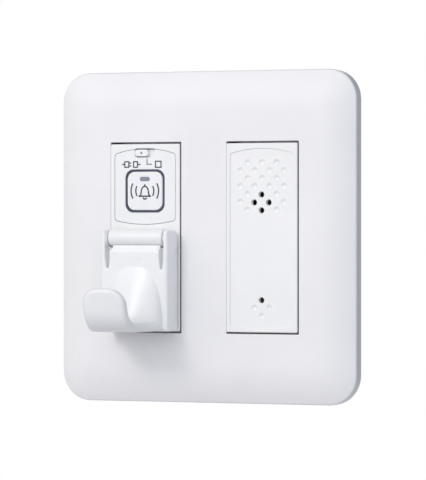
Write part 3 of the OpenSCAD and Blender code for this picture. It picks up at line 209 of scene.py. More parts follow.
def raised(nodes, links, height, depth, under=None, strength=1.0):
    bump = nodes.new("ShaderNodeBump")
    bump.inputs["Distance"].default_value = depth * mm
    bump.inputs["Strength"].default_value = strength
    links.new(height, bump.inputs["Height"])
    if under is not None:
        links.new(under, bump.inputs["Normal"])
    return bump.outputs["Normal"]


def softEdges(nodes, radius):
    edge = nodes.new("ShaderNodeBevel")
    edge.samples = 6
    edge.inputs["Radius"].default_value = radius * mm
    return edge.outputs["Normal"]


def scaled(colour, share):
    return tuple(min(1, c * share) for c in colour)


def mouldedFinish(name, **s):
    finish, nodes, links, shader, place = startFinish(name)
    tone = s.get("tone", 0.02)
    colour = s["colour"]
    patches = ranged(nodes, links, grainAt(nodes, links, place, 40, 2), 0, 1)
    base = toned(nodes, links, patches, scaled(colour, 1 - tone), scaled(colour, 1 + tone / 2))
    specks = ranged(nodes, links, grainAt(nodes, links, place, 1400, 1), 0, 1, 0.68, 0.8)
    base = toned(nodes, links, specks, base, scaled(colour, 1 - 2 * tone))
    if "traces" in s:  # copper tracks under the lacquer, in patches
        tracks = ranged(nodes, links, bandsAt(nodes, links, place, s["traces"], "X"), 0, 1, 0.6, 0.68)
        patch = ranged(nodes, links, grainAt(nodes, links, place, 130, 1), 0, 1, 0.5, 0.52)
        base = toned(nodes, links, patch, base, toned(nodes, links, tracks, base, scaled(colour, 1.7)))
    if "crevice" in s:  # painted shade: the base colour goes darker deep inside narrow gaps, where ambient occlusion finds them
        hollow = nodes.new("ShaderNodeAmbientOcclusion")
        hollow.samples = 12
        hollow.inputs["Distance"].default_value = s["crevice"] * mm
        clear = ranged(nodes, links, hollow.outputs["AO"], 0, 1, 0.06, 0.38)
        base = toned(nodes, links, clear, scaled(colour, 0.1), base)
    links.new(base, shader.inputs["Base Color"])
    gloss = grainAt(nodes, links, place, 160, 4, 0.6)
    dull, spread = s["roughness"], 0.03
    links.new(ranged(nodes, links, gloss, dull - spread, dull + spread), shader.inputs["Roughness"])
    grain = grainAt(nodes, links, place, s.get("grain", 2200), 2)
    sink = grainAt(nodes, links, place, 55, 1)
    normal = raised(nodes, links, sink, 0.02, softEdges(nodes, s.get("edge", 0.25)))
    if "pores" in s:
        normal = raised(nodes, links, cellsAt(nodes, links, place, s["pores"], "Distance"), s["pores"] / 2, normal)
    links.new(raised(nodes, links, grain, s.get("depth", 0.004), normal), shader.inputs["Normal"])
    shader.inputs["IOR"].default_value = 1.49
    shader.inputs["Specular IOR Level"].default_value = s.get("specular", 0.5)
    return finish


def metalFinish(name, **s):
    finish, nodes, links, shader, place = startFinish(name)
    colour = s["colour"]
    along = stretched(nodes, links, place, s.get("stretch", (1, 1, 1)))
    streaks = grainAt(nodes, links, along, s.get("streak", 500), 4, 0.6)
    patches = grainAt(nodes, links, place, 120, 3)
    base = toned(nodes, links, ranged(nodes, links, patches, 0, 1), scaled(colour, 0.86), colour)
    base = toned(nodes, links, ranged(nodes, links, streaks, 0, 1, 0.45, 0.75), base, scaled(colour, 1.08))
    if "spangle" in s:  # zinc crystals
        crystals = cellsAt(nodes, links, place, s["spangle"])
        base = toned(nodes, links, ranged(nodes, links, crystals, 0, 0.5, 0.2, 0.8), base, scaled(colour, 0.8))
    links.new(base, shader.inputs["Base Color"])
    shader.inputs["Metallic"].default_value = 1
    links.new(ranged(nodes, links, streaks, s["roughness"] - 0.06, s["roughness"] + 0.08), shader.inputs["Roughness"])
    normal = softEdges(nodes, 0.12)
    if "turns" in s:  # one wave for each turn of wire or thread
        normal = raised(nodes, links, bandsAt(nodes, links, place, s["turns"]), s["turns"] / 3, normal)
    links.new(raised(nodes, links, streaks, 0.006, normal), shader.inputs["Normal"])
    return finish


finishes = {
    "white_satin": mouldedFinish("satinWhite", colour=(0.874, 0.882, 0.892), roughness=0.3, edge=0.12),
    # the plate and module face finishes carry painted shade in their narrow gaps
    "plate": mouldedFinish("satinPlate", colour=(0.862, 0.86, 0.87), roughness=0.48, specular=0.35, edge=0.1,
                           crevice=1.6),
    "face": mouldedFinish("satinFace", colour=(0.886, 0.888, 0.888), roughness=0.46, specular=0.35, edge=0.1,
                          crevice=1.6),
    "frame_resin": mouldedFinish("frameResin", colour=(0.62, 0.62, 0.63), roughness=0.55, depth=0.02, grain=1300),
    "zinc_steel": metalFinish("zincSteel", colour=(0.62, 0.63, 0.66), roughness=0.36, stretch=(1, 1, 0.08),
                              spangle=2.5),
    "screw_steel": metalFinish("screwSteel", colour=(0.58, 0.585, 0.6), roughness=0.28, streak=900,
                               stretch=(1, 0.2, 1)),
    "navy_plastic": mouldedFinish("navyInk", colour=(0.055, 0.07, 0.12), roughness=0.25, tone=0.1),
    "ink": mouldedFinish("ink", colour=(0.04, 0.048, 0.085), roughness=0.5, tone=0.12, edge=0.01),
    "paleInk": mouldedFinish("paleInk", colour=(0.27, 0.28, 0.3), roughness=0.5, tone=0.12, edge=0.01),
    "greyInk": mouldedFinish("greyInk", colour=(0.09, 0.1, 0.12), roughness=0.5, tone=0.12, edge=0.01),
    "lamp_lens": mouldedFinish("lampLens", colour=(0.25, 0.275, 0.34), roughness=0.22, tone=0.06),
    "lamp_body": mouldedFinish("lampBody", colour=(0.85, 0.8, 0.55), roughness=0.3),
    "board": mouldedFinish("boardGreen", colour=(0.03, 0.16, 0.07), roughness=0.3, tone=0.1, traces=1.2),
    "black_plastic": mouldedFinish("blackPlastic", colour=(0.03, 0.03, 0.033), roughness=0.45, tone=0.1),
    "terminal_green": mouldedFinish("terminalGreen", colour=(0.09, 0.3, 0.17), roughness=0.45, tone=0.08),
    "relay_blue": mouldedFinish("relayBlue", colour=(0.03, 0.1, 0.35), roughness=0.4, tone=0.08),
    "brass": metalFinish("brass", colour=(0.72, 0.52, 0.22), roughness=0.3),
    "spring_steel": metalFinish("springSteel", colour=(0.6, 0.6, 0.62), roughness=0.28),
    "foam": mouldedFinish("foam", colour=(0.05, 0.05, 0.055), roughness=0.95, depth=0.12, grain=900, tone=0.2,
                          pores=0.5),
    "rubber_black": mouldedFinish("rubberBlack", colour=(0.03, 0.03, 0.03), roughness=0.7, tone=0.12),
    "paper_black": mouldedFinish("paperBlack", colour=(0.04, 0.04, 0.045), roughness=0.85, depth=0.04, grain=700,
                                 tone=0.2),
    "copper": metalFinish("woundCopper", colour=(0.75, 0.36, 0.2), roughness=0.3, stretch=(0.1, 3, 0.1), turns=0.25),
    "magnet_grey": metalFinish("magnetGrey", colour=(0.3, 0.3, 0.32), roughness=0.4),
    "can_aluminium": metalFinish("canAluminium", colour=(0.72, 0.72, 0.74), roughness=0.3),
    "wire_red": mouldedFinish("wireRed", colour=(0.5, 0.05, 0.03), roughness=0.4, tone=0.08),
    "sleeve_navy": mouldedFinish("sleeveNavy", colour=(0.03, 0.04, 0.14), roughness=0.3, tone=0.1),
}
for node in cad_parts.values():
    for held in node.material_slots:
        held.material = finishes[held.material.name.split(".")[0]]
print("finishes given to the packed nodes")


# Helpers for modelling: all lengths are in mm.
def deselectAll():
    if bpy.context.object and bpy.context.object.mode != "OBJECT":
        bpy.ops.object.mode_set(mode="OBJECT")
    bpy.ops.object.select_all(action="DESELECT")


def takeUp(piece):
    deselectAll()
    piece.select_set(True)
    bpy.context.view_layer.objects.active = piece


def settle(piece):
    takeUp(piece)
    bpy.ops.object.transform_apply(location=True, rotation=True, scale=True)
    return piece


def addBlock(name, low, high):  # corners in mm
    deselectAll()
    low, high = Vector(low), Vector(high)
    bpy.ops.mesh.primitive_cube_add(size=1, location=(low + high) / 2 * mm)
    piece = bpy.context.object
    piece.name = name
    piece.scale = (high - low) * mm
    return settle(piece)


def addRod(name, radius, start, end, sides=48):
    deselectAll()
    start, end = Vector(start), Vector(end)
    bpy.ops.mesh.primitive_cylinder_add(vertices=sides, radius=radius * mm, depth=(end - start).length * mm,
                                        location=(start + end) / 2 * mm)
    piece = bpy.context.object
    piece.name = name
    piece.rotation_euler = (end - start).to_track_quat("Z", "Y").to_euler()
    return settle(piece)


def addOutline(name, points, along, low, high):  # a flat outline, pulled from low to high along X, Y or Z
    deselectAll()
    bpy.ops.mesh.primitive_circle_add(vertices=len(points), radius=mm, fill_type="NGON")
    piece = bpy.context.object
    piece.name = name
    for vertex, (u, v) in zip(piece.data.vertices, points):
        vertex.co = Vector({"X": (low, u, v), "Y": (u, low, v), "Z": (u, v, low)}[along]) * mm
    pull = Vector({"X": (high - low, 0, 0), "Y": (0, high - low, 0), "Z": (0, 0, high - low)}[along]) * mm
    bpy.ops.object.mode_set(mode="EDIT")
    bpy.ops.mesh.select_all(action="SELECT")
    bpy.ops.mesh.extrude_region_move(TRANSFORM_OT_translate={"value": pull})
    bpy.ops.mesh.select_all(action="SELECT")
    bpy.ops.mesh.normals_make_consistent(inside=False)
    bpy.ops.object.mode_set(mode="OBJECT")
    return piece


def pickEdges(piece, test):
    takeUp(piece)
    bpy.context.tool_settings.mesh_select_mode = (False, True, False)
    bpy.ops.object.mode_set(mode="EDIT")
    bpy.ops.mesh.select_all(action="DESELECT")
    bpy.ops.object.mode_set(mode="OBJECT")
    points = [vertex.co / mm for vertex in piece.data.vertices]
    for edge in piece.data.edges:
        edge.select = bool(test(points[edge.vertices[0]], points[edge.vertices[1]]))
    bpy.ops.object.mode_set(mode="EDIT")


def roundEdges(piece, test, radius, segments=4):
    pickEdges(piece, test)
    bpy.ops.mesh.bevel(offset=radius * mm, segments=segments, affect="EDGES", profile=0.5)
    bpy.ops.object.mode_set(mode="OBJECT")


def near(a, b, gap=0.02):
    return abs(a - b) < gap


def applyModifier(piece, kind, **settings):
    takeUp(piece)
    modifier = piece.modifiers.new(kind.lower(), kind)
    for name, value in settings.items():
        setattr(modifier, name, value)
    bpy.ops.object.modifier_apply(modifier=modifier.name)
    return piece


def combine(piece, other, how):
    applyModifier(piece, "BOOLEAN", object=other, operation=how, solver="EXACT")
    bpy.data.objects.remove(other)
    return piece


def join(piece, *others):
    for other in others:
        combine(piece, other, "UNION")
    return piece


def cut(piece, *others):
    for other in others:
        combine(piece, other, "DIFFERENCE")
    return piece


# Gives a piece its finish and shading and hands it over. even keeps large faces flat in the shading.
def hand(piece, body, finish, replaced=(), smooth=35, even=False):
    piece.data.materials.clear()
    piece.data.materials.append(finish)
    takeUp(piece)
    bpy.ops.object.shade_smooth_by_angle(angle=math.radians(smooth))
    if even:
        applyModifier(piece, "WEIGHTED_NORMAL", keep_sharp=True)
    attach(piece, body)
    if replaced:
        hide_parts(*replaced)
    return piece


def arcPoints(middle, radius, start, end, steps):  # degrees
    turns = [math.radians(start + (end - start) * k / steps) for k in range(steps + 1)]
    return [(middle[0] + radius * math.cos(t), middle[1] + radius * math.sin(t)) for t in turns]


def roundedOutline(x, z, width, height, radius, steps=8):
    points = []
    for sx, sz, start in ((1, 1, 0), (-1, 1, 90), (-1, -1, 180), (1, -1, 270)):
        middle = (x + sx * (width / 2 - radius), z + sz * (height / 2 - radius))
        points += arcPoints(middle, radius, start, start + 90, steps)
    return points


def archedOutline(x, half, top, bottom, topSag, bottomSag, steps=36):
    def drop(u, sag):  # how far an arc over the full width falls at u from its middle
        radius = (half * half + sag * sag) / (2 * sag)
        return radius - math.sqrt(radius * radius - u * u)

    across = [half * (2 * k / steps - 1) for k in range(steps + 1)]
    lower = [(x + u, bottom + drop(u, bottomSag)) for u in across]
    return lower + [(x + u, top - drop(u, topSag)) for u in reversed(across)]


def addArched(name, s, grow, front, rear):  # upright panel with arched ends and round corners
    half, x = s["panelHalf"] + grow, s["middle"]
    outline = archedOutline(x, half, s["panelTop"] + grow, s["panelBottom"] - grow, *s["panelSags"])
    panel = addOutline(name, outline, "Y", front, rear)
    atCorner = lambda a, b: near(a.x, b.x) and near(a.z, b.z) and near(abs(a.x - x), half)
    roundEdges(panel, atCorner, s["panelCorner"] + grow, 8)
    return panel


def atDepth(y):  # a test for edges that lie at one depth
    return lambda a, b: near(a.y, y) and near(b.y, y)


def ribbon(points, width, closed=False):  # outline of a line of even width
    sides = ([], [])
    count = len(points)
    for k, (u, v) in enumerate(points):
        before = points[k - 1] if k or closed else points[0]
        after = points[(k + 1) % count] if k < count - 1 or closed else points[-1]
        first, second = Vector((u - before[0], v - before[1])), Vector((after[0] - u, after[1] - v))
        first = first.normalized() if first.length else second.normalized()
        second = second.normalized() if second.length else first
        bisector = (first + second).normalized()
        out = Vector((-bisector.y, bisector.x)) * width / 2 / max(bisector.dot(first), 0.5)
        sides[0].append((u + out.x, v + out.y))
        sides[1].append((u - out.x, v - out.y))
    return sides


def addLine(name, points, width, front, rear, closed=False):
    left, right = ribbon(points, width, closed)
    if not closed:
        return addOutline(name, left + right[::-1], "Y", front, rear)
    return cut(addOutline(name, right, "Y", front, rear), addOutline("inside", left, "Y", front - 1, rear + 1))


plate = {
    "width": 116, "height": 120, "depth": 8.05, "cornerRadius": 10.8, "wall": 1.8,
    "domeReach": 14, "domeRise": 3.7, "edgeRadius": 1.0,
    "openingLeft": -13.88, "openingRight": 14.25, "openingTop": 34.4, "openingBottom": -34.75,
    "openingEdge": 0.2, "lining": 1.2, "liningDepth": (-7.2, -3.7), "gangs": (-23, 23),
    "tabs": (30, 55.4), "tabHalf": (4, 0.6), "tabDepth": (-5.0, -0.6),
}


# A rounded outline, pulled forward in rings over the dome
def domedBlock(name, inset, cornerSteps=14, domeSteps=10, edgeSteps=6):
    halfW, halfH = plate["width"] / 2 - inset, plate["height"] / 2 - inset
    reach, front = plate["domeReach"] - inset, inset - plate["depth"]
    edgeRadius, rise = max(plate["edgeRadius"] - inset, 0.2), plate["domeRise"]
    deselectAll()
    bpy.ops.mesh.primitive_plane_add(size=2, rotation=(math.radians(90), 0, 0))
    block = bpy.context.object
    block.name = name
    block.scale = (halfW * mm, halfH * mm, 1)
    settle(block)
    bpy.ops.object.mode_set(mode="EDIT")
    bpy.ops.mesh.select_all(action="SELECT")
    bpy.ops.mesh.bevel(offset=(plate["cornerRadius"] - inset) * mm, segments=cornerSteps, affect="VERTICES")
    slope = math.atan(2 * rise / reach)
    rings = []  # share of the way from the core to the outline, and how far forward
    for k in range(edgeSteps + 1):
        angle = (math.pi / 2 - slope) * k / edgeSteps
        rings.append((1 - edgeRadius * (1 - math.cos(angle)) / reach, edgeRadius * math.sin(angle)))
    share = rings[-1][0]
    wallTop = front + rise * share * share + rings[-1][1]
    rings = [(part, wallTop - forward) for part, forward in rings]
    for k in range(1, domeSteps + 1):
        part = share * (1 - k / domeSteps)
        rings.append((part, front + rise * part ** 2))
    before = 1  # each ring is an extruded copy of the last one, drawn in towards the core
    for share, y in rings:
        bpy.ops.mesh.extrude_region_move(TRANSFORM_OT_translate={"value": (0, -mm, 0)})
        bpy.ops.object.mode_set(mode="OBJECT")
        for vertex in block.data.vertices:
            if vertex.select:
                core = Vector((max(-halfW + reach, min(halfW - reach, vertex.co.x / mm)), 0,
                               max(-halfH + reach, min(halfH - reach, vertex.co.z / mm)))) * mm
                out = Vector((vertex.co.x, 0, vertex.co.z)) - core
                vertex.co = core + out * (share / before) + Vector((0, y * mm, 0))
        before = share if share > 0 else before
        bpy.ops.object.mode_set(mode="EDIT")
    bpy.ops.mesh.select_all(action="SELECT")
    bpy.ops.mesh.remove_doubles(threshold=0.00001)
    bpy.ops.mesh.select_all(action="DESELECT")
    bpy.ops.mesh.select_non_manifold()
    bpy.ops.mesh.edge_face_add()
    bpy.ops.mesh.select_all(action="SELECT")
    bpy.ops.mesh.normals_make_consistent(inside=False)
    bpy.ops.object.mode_set(mode="OBJECT")
    return block


def makeCoverPlate():
    shell = domedBlock("coverPlate", 0)
    hollow = domedBlock("hollow", plate["wall"])
    beyond = 0.5 * mm  # the hollow's rear stands out behind the plate, so that the plate is cut open there
    hollow.location.y = beyond
    settle(hollow)
    for vertex in hollow.data.vertices:
        if vertex.co.y < 0.4 * mm:
            vertex.co.y -= beyond
    cut(shell, hollow)
    left, right = plate["openingLeft"], plate["openingRight"]
    top, bottom = plate["openingTop"], plate["openingBottom"]
    lining, (liningFront, liningRear), front = plate["lining"], plate["liningDepth"], -plate["depth"]
    for x in plate["gangs"]:
        join(shell, addBlock("lining", (x + left - lining, liningFront, bottom - lining),
                             (x + right + lining, liningRear, top + lining)))
        cut(shell, addBlock("opening", (x + left, clearFront, bottom), (x + right, 1, top)))
    sides = [x + side for x in plate["gangs"] for side in (left, right)]

    def atRim(p):
        return near(p.y, front) and (any(near(p.x, side) for side in sides) or near(p.z, top) or near(p.z, bottom))

    roundEdges(shell, lambda a, b: atRim(a) and atRim(b), plate["openingEdge"], 3)
    tabX, tabZ = plate["tabs"]
    halfX, halfZ = plate["tabHalf"]
    tabFront, tabRear = plate["tabDepth"]
    for sx in (-1, 1):
        for sz in (-1, 1):
            join(shell, addBlock("tab", (sx * tabX - halfX, tabFront, sz * tabZ - halfZ),
                                 (sx * tabX + halfX, tabRear, sz * tabZ + halfZ)))
    return hand(shell, "base", finishes["plate"], ["cover_plate"], 30, True)


makeCoverPlate()
print("cover plate modelled")


face = {
    "halfWidth": 13.8, "top": 33.72, "bottom": -34.15, "front": -8.35, "rear": -6.15, "skirt": -1.35,
    "innerHalf": 12.4, "innerHeight": 32.4, "corner": 0.6, "edge": 0.35,
    "bossRadius": 2.2, "bossDepth": (-6.6, 6.3),
}


def moduleFace(name, x):
    w, front = face["halfWidth"], face["front"]
    block = addBlock(name, (x - w, front, face["bottom"]), (x + w, face["skirt"], face["top"]))
    roundEdges(block, lambda a, b: near(a.x, b.x) and near(a.z, b.z), face["corner"], 5)
    roundEdges(block, atDepth(front), face["edge"], 4)
    inner, high = face["innerHalf"], face["innerHeight"]
    return cut(block, addBlock("inside", (x - inner, face["rear"], -high), (x + inner, 1, high)))


def addBosses(front, x, places):  # screw bosses behind a module face
    start, end = face["bossDepth"]
    for u, w in places:
        join(front, addRod("boss", face["bossRadius"], (x + u, start, w), (x + u, end, w)))


def drill(name, places, radius, front, rear, sides=40):  # one piece with a rod at each place
    rods = [addRod(name, radius, (x, front, z), (x, rear, z), sides) for x, z in places]
    return gather(rods)


def gather(pieces):
    deselectAll()
    for piece in pieces:
        piece.select_set(True)
    bpy.context.view_layer.objects.active = pieces[0]
    bpy.ops.object.join()
    return bpy.context.object


intercom = {
    "middle": 23, "panelHalf": 12.4, "panelTop": 31.9, "panelBottom": -33.4, "panelSags": (1.85, 1.85),
    "panelCorner": 1.5, "panelDepth": 0.36, "panelEdge": 0.16, "rowStep": 2.828, "dotsTop": 26.8, "rows": 7,
    "dotRadius": 1.0, "dimpleDepth": 0.5, "dimpleEdge": 0.16, "holeRadius": 1.1, "holeShift": (-0.25, -0.25),
    "micPlace": -22.5, "feltRadius": 1.0, "feltDepth": (-5.8, -5.4),
    "bosses": ((-8, -6), (-8, 27), (8, -6), (8, 27)),
}


def dotPlaces():  # shallow dimples, and the few dots that go through
    dimples, holes = [], []
    aside, down = intercom["holeShift"]
    for row in range(intercom["rows"]):
        z = intercom["dotsTop"] - row * intercom["rowStep"]
        across = (-2, 0, 2) if row % 2 == 0 else (-3, -1, 1, 3)
        for step in across:
            through = row >= 4 and abs(step) <= row % 2
            spot = (intercom["middle"] + step * intercom["rowStep"], z)
            (holes if through else dimples).append((spot[0] + aside, spot[1] + down) if through else spot)
    mic = intercom["micPlace"]
    holes.append((intercom["middle"] + aside, mic + down / 2))
    for step, drop in ((-1, 1), (1, 1), (0, 2)):
        dimples.append((intercom["middle"] + step * intercom["rowStep"], mic - intercom["rowStep"] * drop))
    return dimples, holes


def makeIntercomFront():
    x, floor = intercom["middle"], face["front"] + intercom["panelDepth"]
    front = moduleFace("intercomFront", x)
    panel = addArched("panel", intercom, 0, face["front"] - 1, floor)
    roundEdges(panel, atDepth(floor), intercom["panelEdge"], 3)
    cut(front, panel)
    dimples, holes = dotPlaces()
    deep, wide = intercom["dimpleDepth"], intercom["dotRadius"]
    ball = (wide * wide + deep * deep) / (2 * deep)  # radius of the ball that leaves such a dimple
    balls = []
    for u, w in dimples:
        deselectAll()
        spot = (u * mm, (floor + deep - ball) * mm, w * mm)
        bpy.ops.mesh.primitive_uv_sphere_add(segments=40, ring_count=32, radius=ball * mm, location=spot,
                                             rotation=(math.radians(90), 0, 0))
        balls.append(settle(bpy.context.object))
    cut(front, gather(balls), drill("holes", holes, intercom["holeRadius"], face["front"] - 1, face["rear"] + 1))
    places = [(u, w, wide) for u, w in dimples] + [(u, w, intercom["holeRadius"]) for u, w in holes]
    onRim = lambda p, u, w, r: near(p.y, floor, 0.03) and near(math.hypot(p.x - u, p.z - w), r, 0.04)
    atRim = lambda a, b: any(onRim(a, *spot) and onRim(b, *spot) for spot in places)
    roundEdges(front, atRim, intercom["dimpleEdge"], 3)
    addBosses(front, x, intercom["bosses"])
    return hand(front, "base", finishes["face"], ["intercom_front"], 30, True)


makeIntercomFront()
feltX, feltZ = intercom["middle"], intercom["micPlace"]
feltFront, feltRear = intercom["feltDepth"]
micFelt = addRod("micFelt", intercom["feltRadius"], (feltX, feltFront, feltZ), (feltX, feltRear, feltZ))
hand(micFelt, "base", finishes["foam"])
print("intercom front modelled")


call = {
    "middle": -23, "panelHalf": 12.1, "panelTop": 32.0, "panelBottom": 4.6, "panelSags": (2.0, 1.5),
    "panelCorner": 1.5, "panelFloor": -7.05, "panelGap": 0.12, "panelEdge": 0.22,
    "buttonZ": 16.7, "ringSize": 15.6, "ringWidth": 0.64, "ringRadius": 3.1, "ringInner": 3.0, "ringGap": 0.05,
    "ringEdge": 0.15, "ringFront": -8.4,
    "capSize": 14.06, "capRadius": 2.85, "capFront": -8.5, "capEdge": 0.45, "capRear": -5.5,
    "flangeSize": 16.4, "flangeRadius": 2.6, "flangeDepth": (-6.05, -4.85),
    "stemRadius": 2.0, "stemDepth": (-5.0, 1.8),
    "knobRest": -1.35, "knobZ": 30.5, "knobWidth": 5.2, "knobHeight": 2.5, "knobFront": -8.6, "knobRear": -7.1,
    "knobRadius": 0.95, "knobEdge": 0.35, "dotRadius": 0.45, "dotDepth": 0.15,
    "neckX": (-1.6, -0.8), "neckY": (-7.3, -5.5), "neckHalf": 0.4, "carrierHalf": (5.5, 1.8), "carrierY": (-6, -4.8),
    "forkAside": 1.3, "forkHalf": 0.3, "forkY": (-5, 1.6), "forkZ": (27.8, 29.4),
    "neckSlotX": (-3.02, 0.62), "neckSlotZ": (30.02, 30.98), "topGrooveHalf": 3.6, "topGrooveZ": (31.72, 32.14),
    "jackSize": (12.6, 9.6), "jackRadius": 0.6, "webHalf": (8.5, 1.8), "boreRadius": 1.05,
    "bosses": ((-8, -0.75), (8, -0.75), (0, -28)),
    "slotWidth": 8.2, "slotHeight": 3.3, "slotRadius": 1.1,
    "lampZ": 21.05, "lampWidth": 3.95, "lampHeight": 1.5, "lampGap": 0.1, "lampRadius": 0.79,
    "barrelRadius": 3.2, "barrelHalf": 10.7, "barrelEdge": 0.7, "axis": (-14.45, -0.2), "jackZ": -17.5,
    "springTravel": 0.5,
}


def makeCallFront():
    x, size = call["middle"], call["ringSize"] - 2 * call["ringWidth"]
    front = moduleFace("callFront", x)
    capOpening = roundedOutline(x, call["buttonZ"], size, size, call["ringInner"])
    jackOpening = roundedOutline(x, call["jackZ"], *call["jackSize"], call["jackRadius"])
    (neckLeft, neckRight), (neckLow, neckHigh) = call["neckSlotX"], call["neckSlotZ"]
    groove, (grooveLow, grooveHigh) = call["topGrooveHalf"], call["topGrooveZ"]
    cut(front, addArched("panel", call, call["panelGap"], face["front"] - 1, call["panelFloor"]),
        addOutline("capOpening", capOpening, "Y", clearFront, -5), knobSlot(x, call["panelFloor"]),
        addBlock("neckSlot", (x + neckLeft, clearFront, neckLow), (x + neckRight, -5, neckHigh)),
        addBlock("topGroove", (x - groove, clearFront, grooveLow), (x + groove, -6.5, grooveHigh)),
        addOutline("jackOpening", jackOpening, "Y", clearFront, -5))
    atFront, (jackWide, jackHigh) = atDepth(face["front"]), call["jackSize"]

    def atOpening(a, b):
        around = near(abs(a.z - call["jackZ"]), jackHigh / 2, 0.7) or near(abs(a.x - x), jackWide / 2, 0.7)
        return atFront(a, b) and max(abs(a.x - x), abs(b.x - x)) < 13 and (a.z > 3.5 or around)

    roundEdges(front, atOpening, 0.1, 2)
    makeBarrel(x)
    addBosses(front, x, call["bosses"])
    return hand(front, "base", finishes["face"], ["call_front"], 30, True)


def knobSlot(x, rear):
    slot = roundedOutline(x, call["knobZ"], call["slotWidth"], call["slotHeight"], call["slotRadius"])
    return addOutline("knobSlot", slot, "Y", clearFront, rear)


def makeBarrel(x):  # the fixed half of the hinge, on a web from the face
    (y, z), half, (webX, webZ) = call["axis"], call["barrelHalf"], call["webHalf"]
    barrel = addRod("barrel", call["barrelRadius"], (x - half, y, z), (x + half, y, z), 72)
    roundEdges(barrel, lambda a, b: near(a.x, b.x) and near(abs(a.x - x), half), call["barrelEdge"], 5)
    join(barrel, addBlock("web", (x - webX, y, z - webZ), (x + webX, -8.0, z + webZ)))
    cut(barrel, addRod("bore", call["boreRadius"], (x - 12, y, z), (x + 12, y, z)))
    return hand(barrel, "base", finishes["white_satin"], smooth=30, even=True)


def makeLabelPanel():
    x, size = call["middle"], call["ringSize"] + 2 * call["ringGap"]
    panel = addArched("labelPanel", call, 0, face["front"], call["panelFloor"])
    atFront = atDepth(face["front"])
    roundEdges(panel, atFront, call["panelEdge"], 3)
    ringOpening = roundedOutline(x, call["buttonZ"], size, size, call["ringRadius"] + call["ringGap"])
    cut(panel, addOutline("ringOpening", ringOpening, "Y", clearFront, -6), knobSlot(x, -6))
    atSlot = lambda a, b: atFront(a, b) and a.z > 28.8 and abs(a.x - x) < 4.2 and abs(b.x - x) < 4.2
    roundEdges(panel, atSlot, 0.18, 3)
    return hand(panel, "base", finishes["white_satin"], ["label_panel"], 30, True)


def makeButtonRing():
    x, z, size, radius = call["middle"], call["buttonZ"], call["ringSize"], call["ringRadius"]
    front = call["ringFront"]
    ring = addOutline("buttonRing", roundedOutline(x, z, size, size, radius, 12), "Y", front, call["panelFloor"])
    size, radius = size - 2 * call["ringWidth"], call["ringInner"]
    cut(ring, addOutline("hole", roundedOutline(x, z, size, size, radius, 12), "Y", clearFront, -6))
    roundEdges(ring, atDepth(front), call["ringEdge"], 2)
    return hand(ring, "base", finishes["navy_plastic"], ["button_ring"], 30, True)


def makeCallButton():
    x, z, size, front = call["middle"], call["buttonZ"], call["capSize"], call["capFront"]
    outline = roundedOutline(x, z, size, size, call["capRadius"], 10)
    cap = addOutline("callButton", outline, "Y", front, call["capRear"])
    roundEdges(cap, atDepth(front), call["capEdge"], 5)
    flange = roundedOutline(x, z, call["flangeSize"], call["flangeSize"], call["flangeRadius"])
    stemFront, stemRear = call["stemDepth"]
    join(cap, addOutline("flange", flange, "Y", *call["flangeDepth"]),
         addRod("stem", call["stemRadius"], (x, stemFront, z), (x, stemRear, z)))
    wide, high = call["lampWidth"] + call["lampGap"], call["lampHeight"] + call["lampGap"]
    lampOpening = roundedOutline(x, call["lampZ"], wide, high, call["lampRadius"])
    cut(cap, addOutline("lampOpening", lampOpening, "Y", clearFront, -4))
    return hand(cap, "button", finishes["white_satin"], ["call_button"], 30, True)


def makeSlideKnob():
    x, z, front = call["middle"] + call["knobRest"], call["knobZ"], call["knobFront"]
    outline = roundedOutline(x, z, call["knobWidth"], call["knobHeight"], call["knobRadius"])
    knob = addOutline("slideKnob", outline, "Y", front, call["knobRear"])
    roundEdges(knob, atDepth(front), call["knobEdge"], 4)
    (neckLeft, neckRight), (neckFront, neckRear), neck = call["neckX"], call["neckY"], call["neckHalf"]
    (wide, high), (carrierFront, carrierRear) = call["carrierHalf"], call["carrierY"]
    join(knob, addBlock("neck", (x + neckLeft, neckFront, z - neck), (x + neckRight, neckRear, z + neck)),
         addBlock("carrier", (x - wide, carrierFront, z - high), (x + wide, carrierRear, z + high)))
    half, (forkFront, forkRear), (forkLow, forkHigh) = call["forkHalf"], call["forkY"], call["forkZ"]
    for side in (-1, 1):
        prong = x + side * call["forkAside"]
        join(knob, addBlock("fork", (prong - half, forkFront, forkLow), (prong + half, forkRear, forkHigh)))
    cut(knob, addRod("dot", call["dotRadius"], (x, front - 1, z), (x, front + call["dotDepth"], z), 24))
    return hand(knob, "slider", finishes["white_satin"], ["slide_knob"], 30, True)


makeCallFront()
makeLabelPanel()
makeButtonRing()
makeCallButton()
makeSlideKnob()
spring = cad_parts["button_spring"]
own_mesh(spring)
print("call module modelled")


marks = {
    "x": -23, "line": 0.52, "fine": 0.44, "bellZ": 16.4, "rowZ": 26.35, "thick": 0.03, "sunk": 0.05,
    "arcs": (3.6, 5.5), "arcHalf": 30, "leaderWidth": 0.34, "leader": ((0.83, 28.45), (0.83, 26.4), (2.8, 26.4)),
    "dotRadius": 0.44, "dotDepth": (-8.5, -8.3),
}


def bellMark():
    x, z, w = marks["x"], marks["bellZ"], marks["line"]
    front, rear = call["capFront"] - marks["thick"], call["capFront"] + marks["sunk"]
    side = [(2.1, -1.6), (1.7, -1.2), (1.5, -0.6), (1.42, 0.3), (1.2, 1.1), (0.75, 1.7), (0.25, 1.98)]
    lines = [[(-u, v) for u, v in side] + side[::-1], [(-2.5, -1.62), (2.5, -1.62)], [(0, 1.95), (0, 2.75)],
             arcPoints((0, -1.9), 0.75, 200, 340, 8)]
    half = marks["arcHalf"]
    for radius in marks["arcs"]:
        for middle in (0, 180):
            lines.append(arcPoints((0, 0.3), radius, middle - half, middle + half, 12))
    return gather([addLine("bellMark", [(x + u, z + v) for u, v in line], w, front, rear) for line in lines])


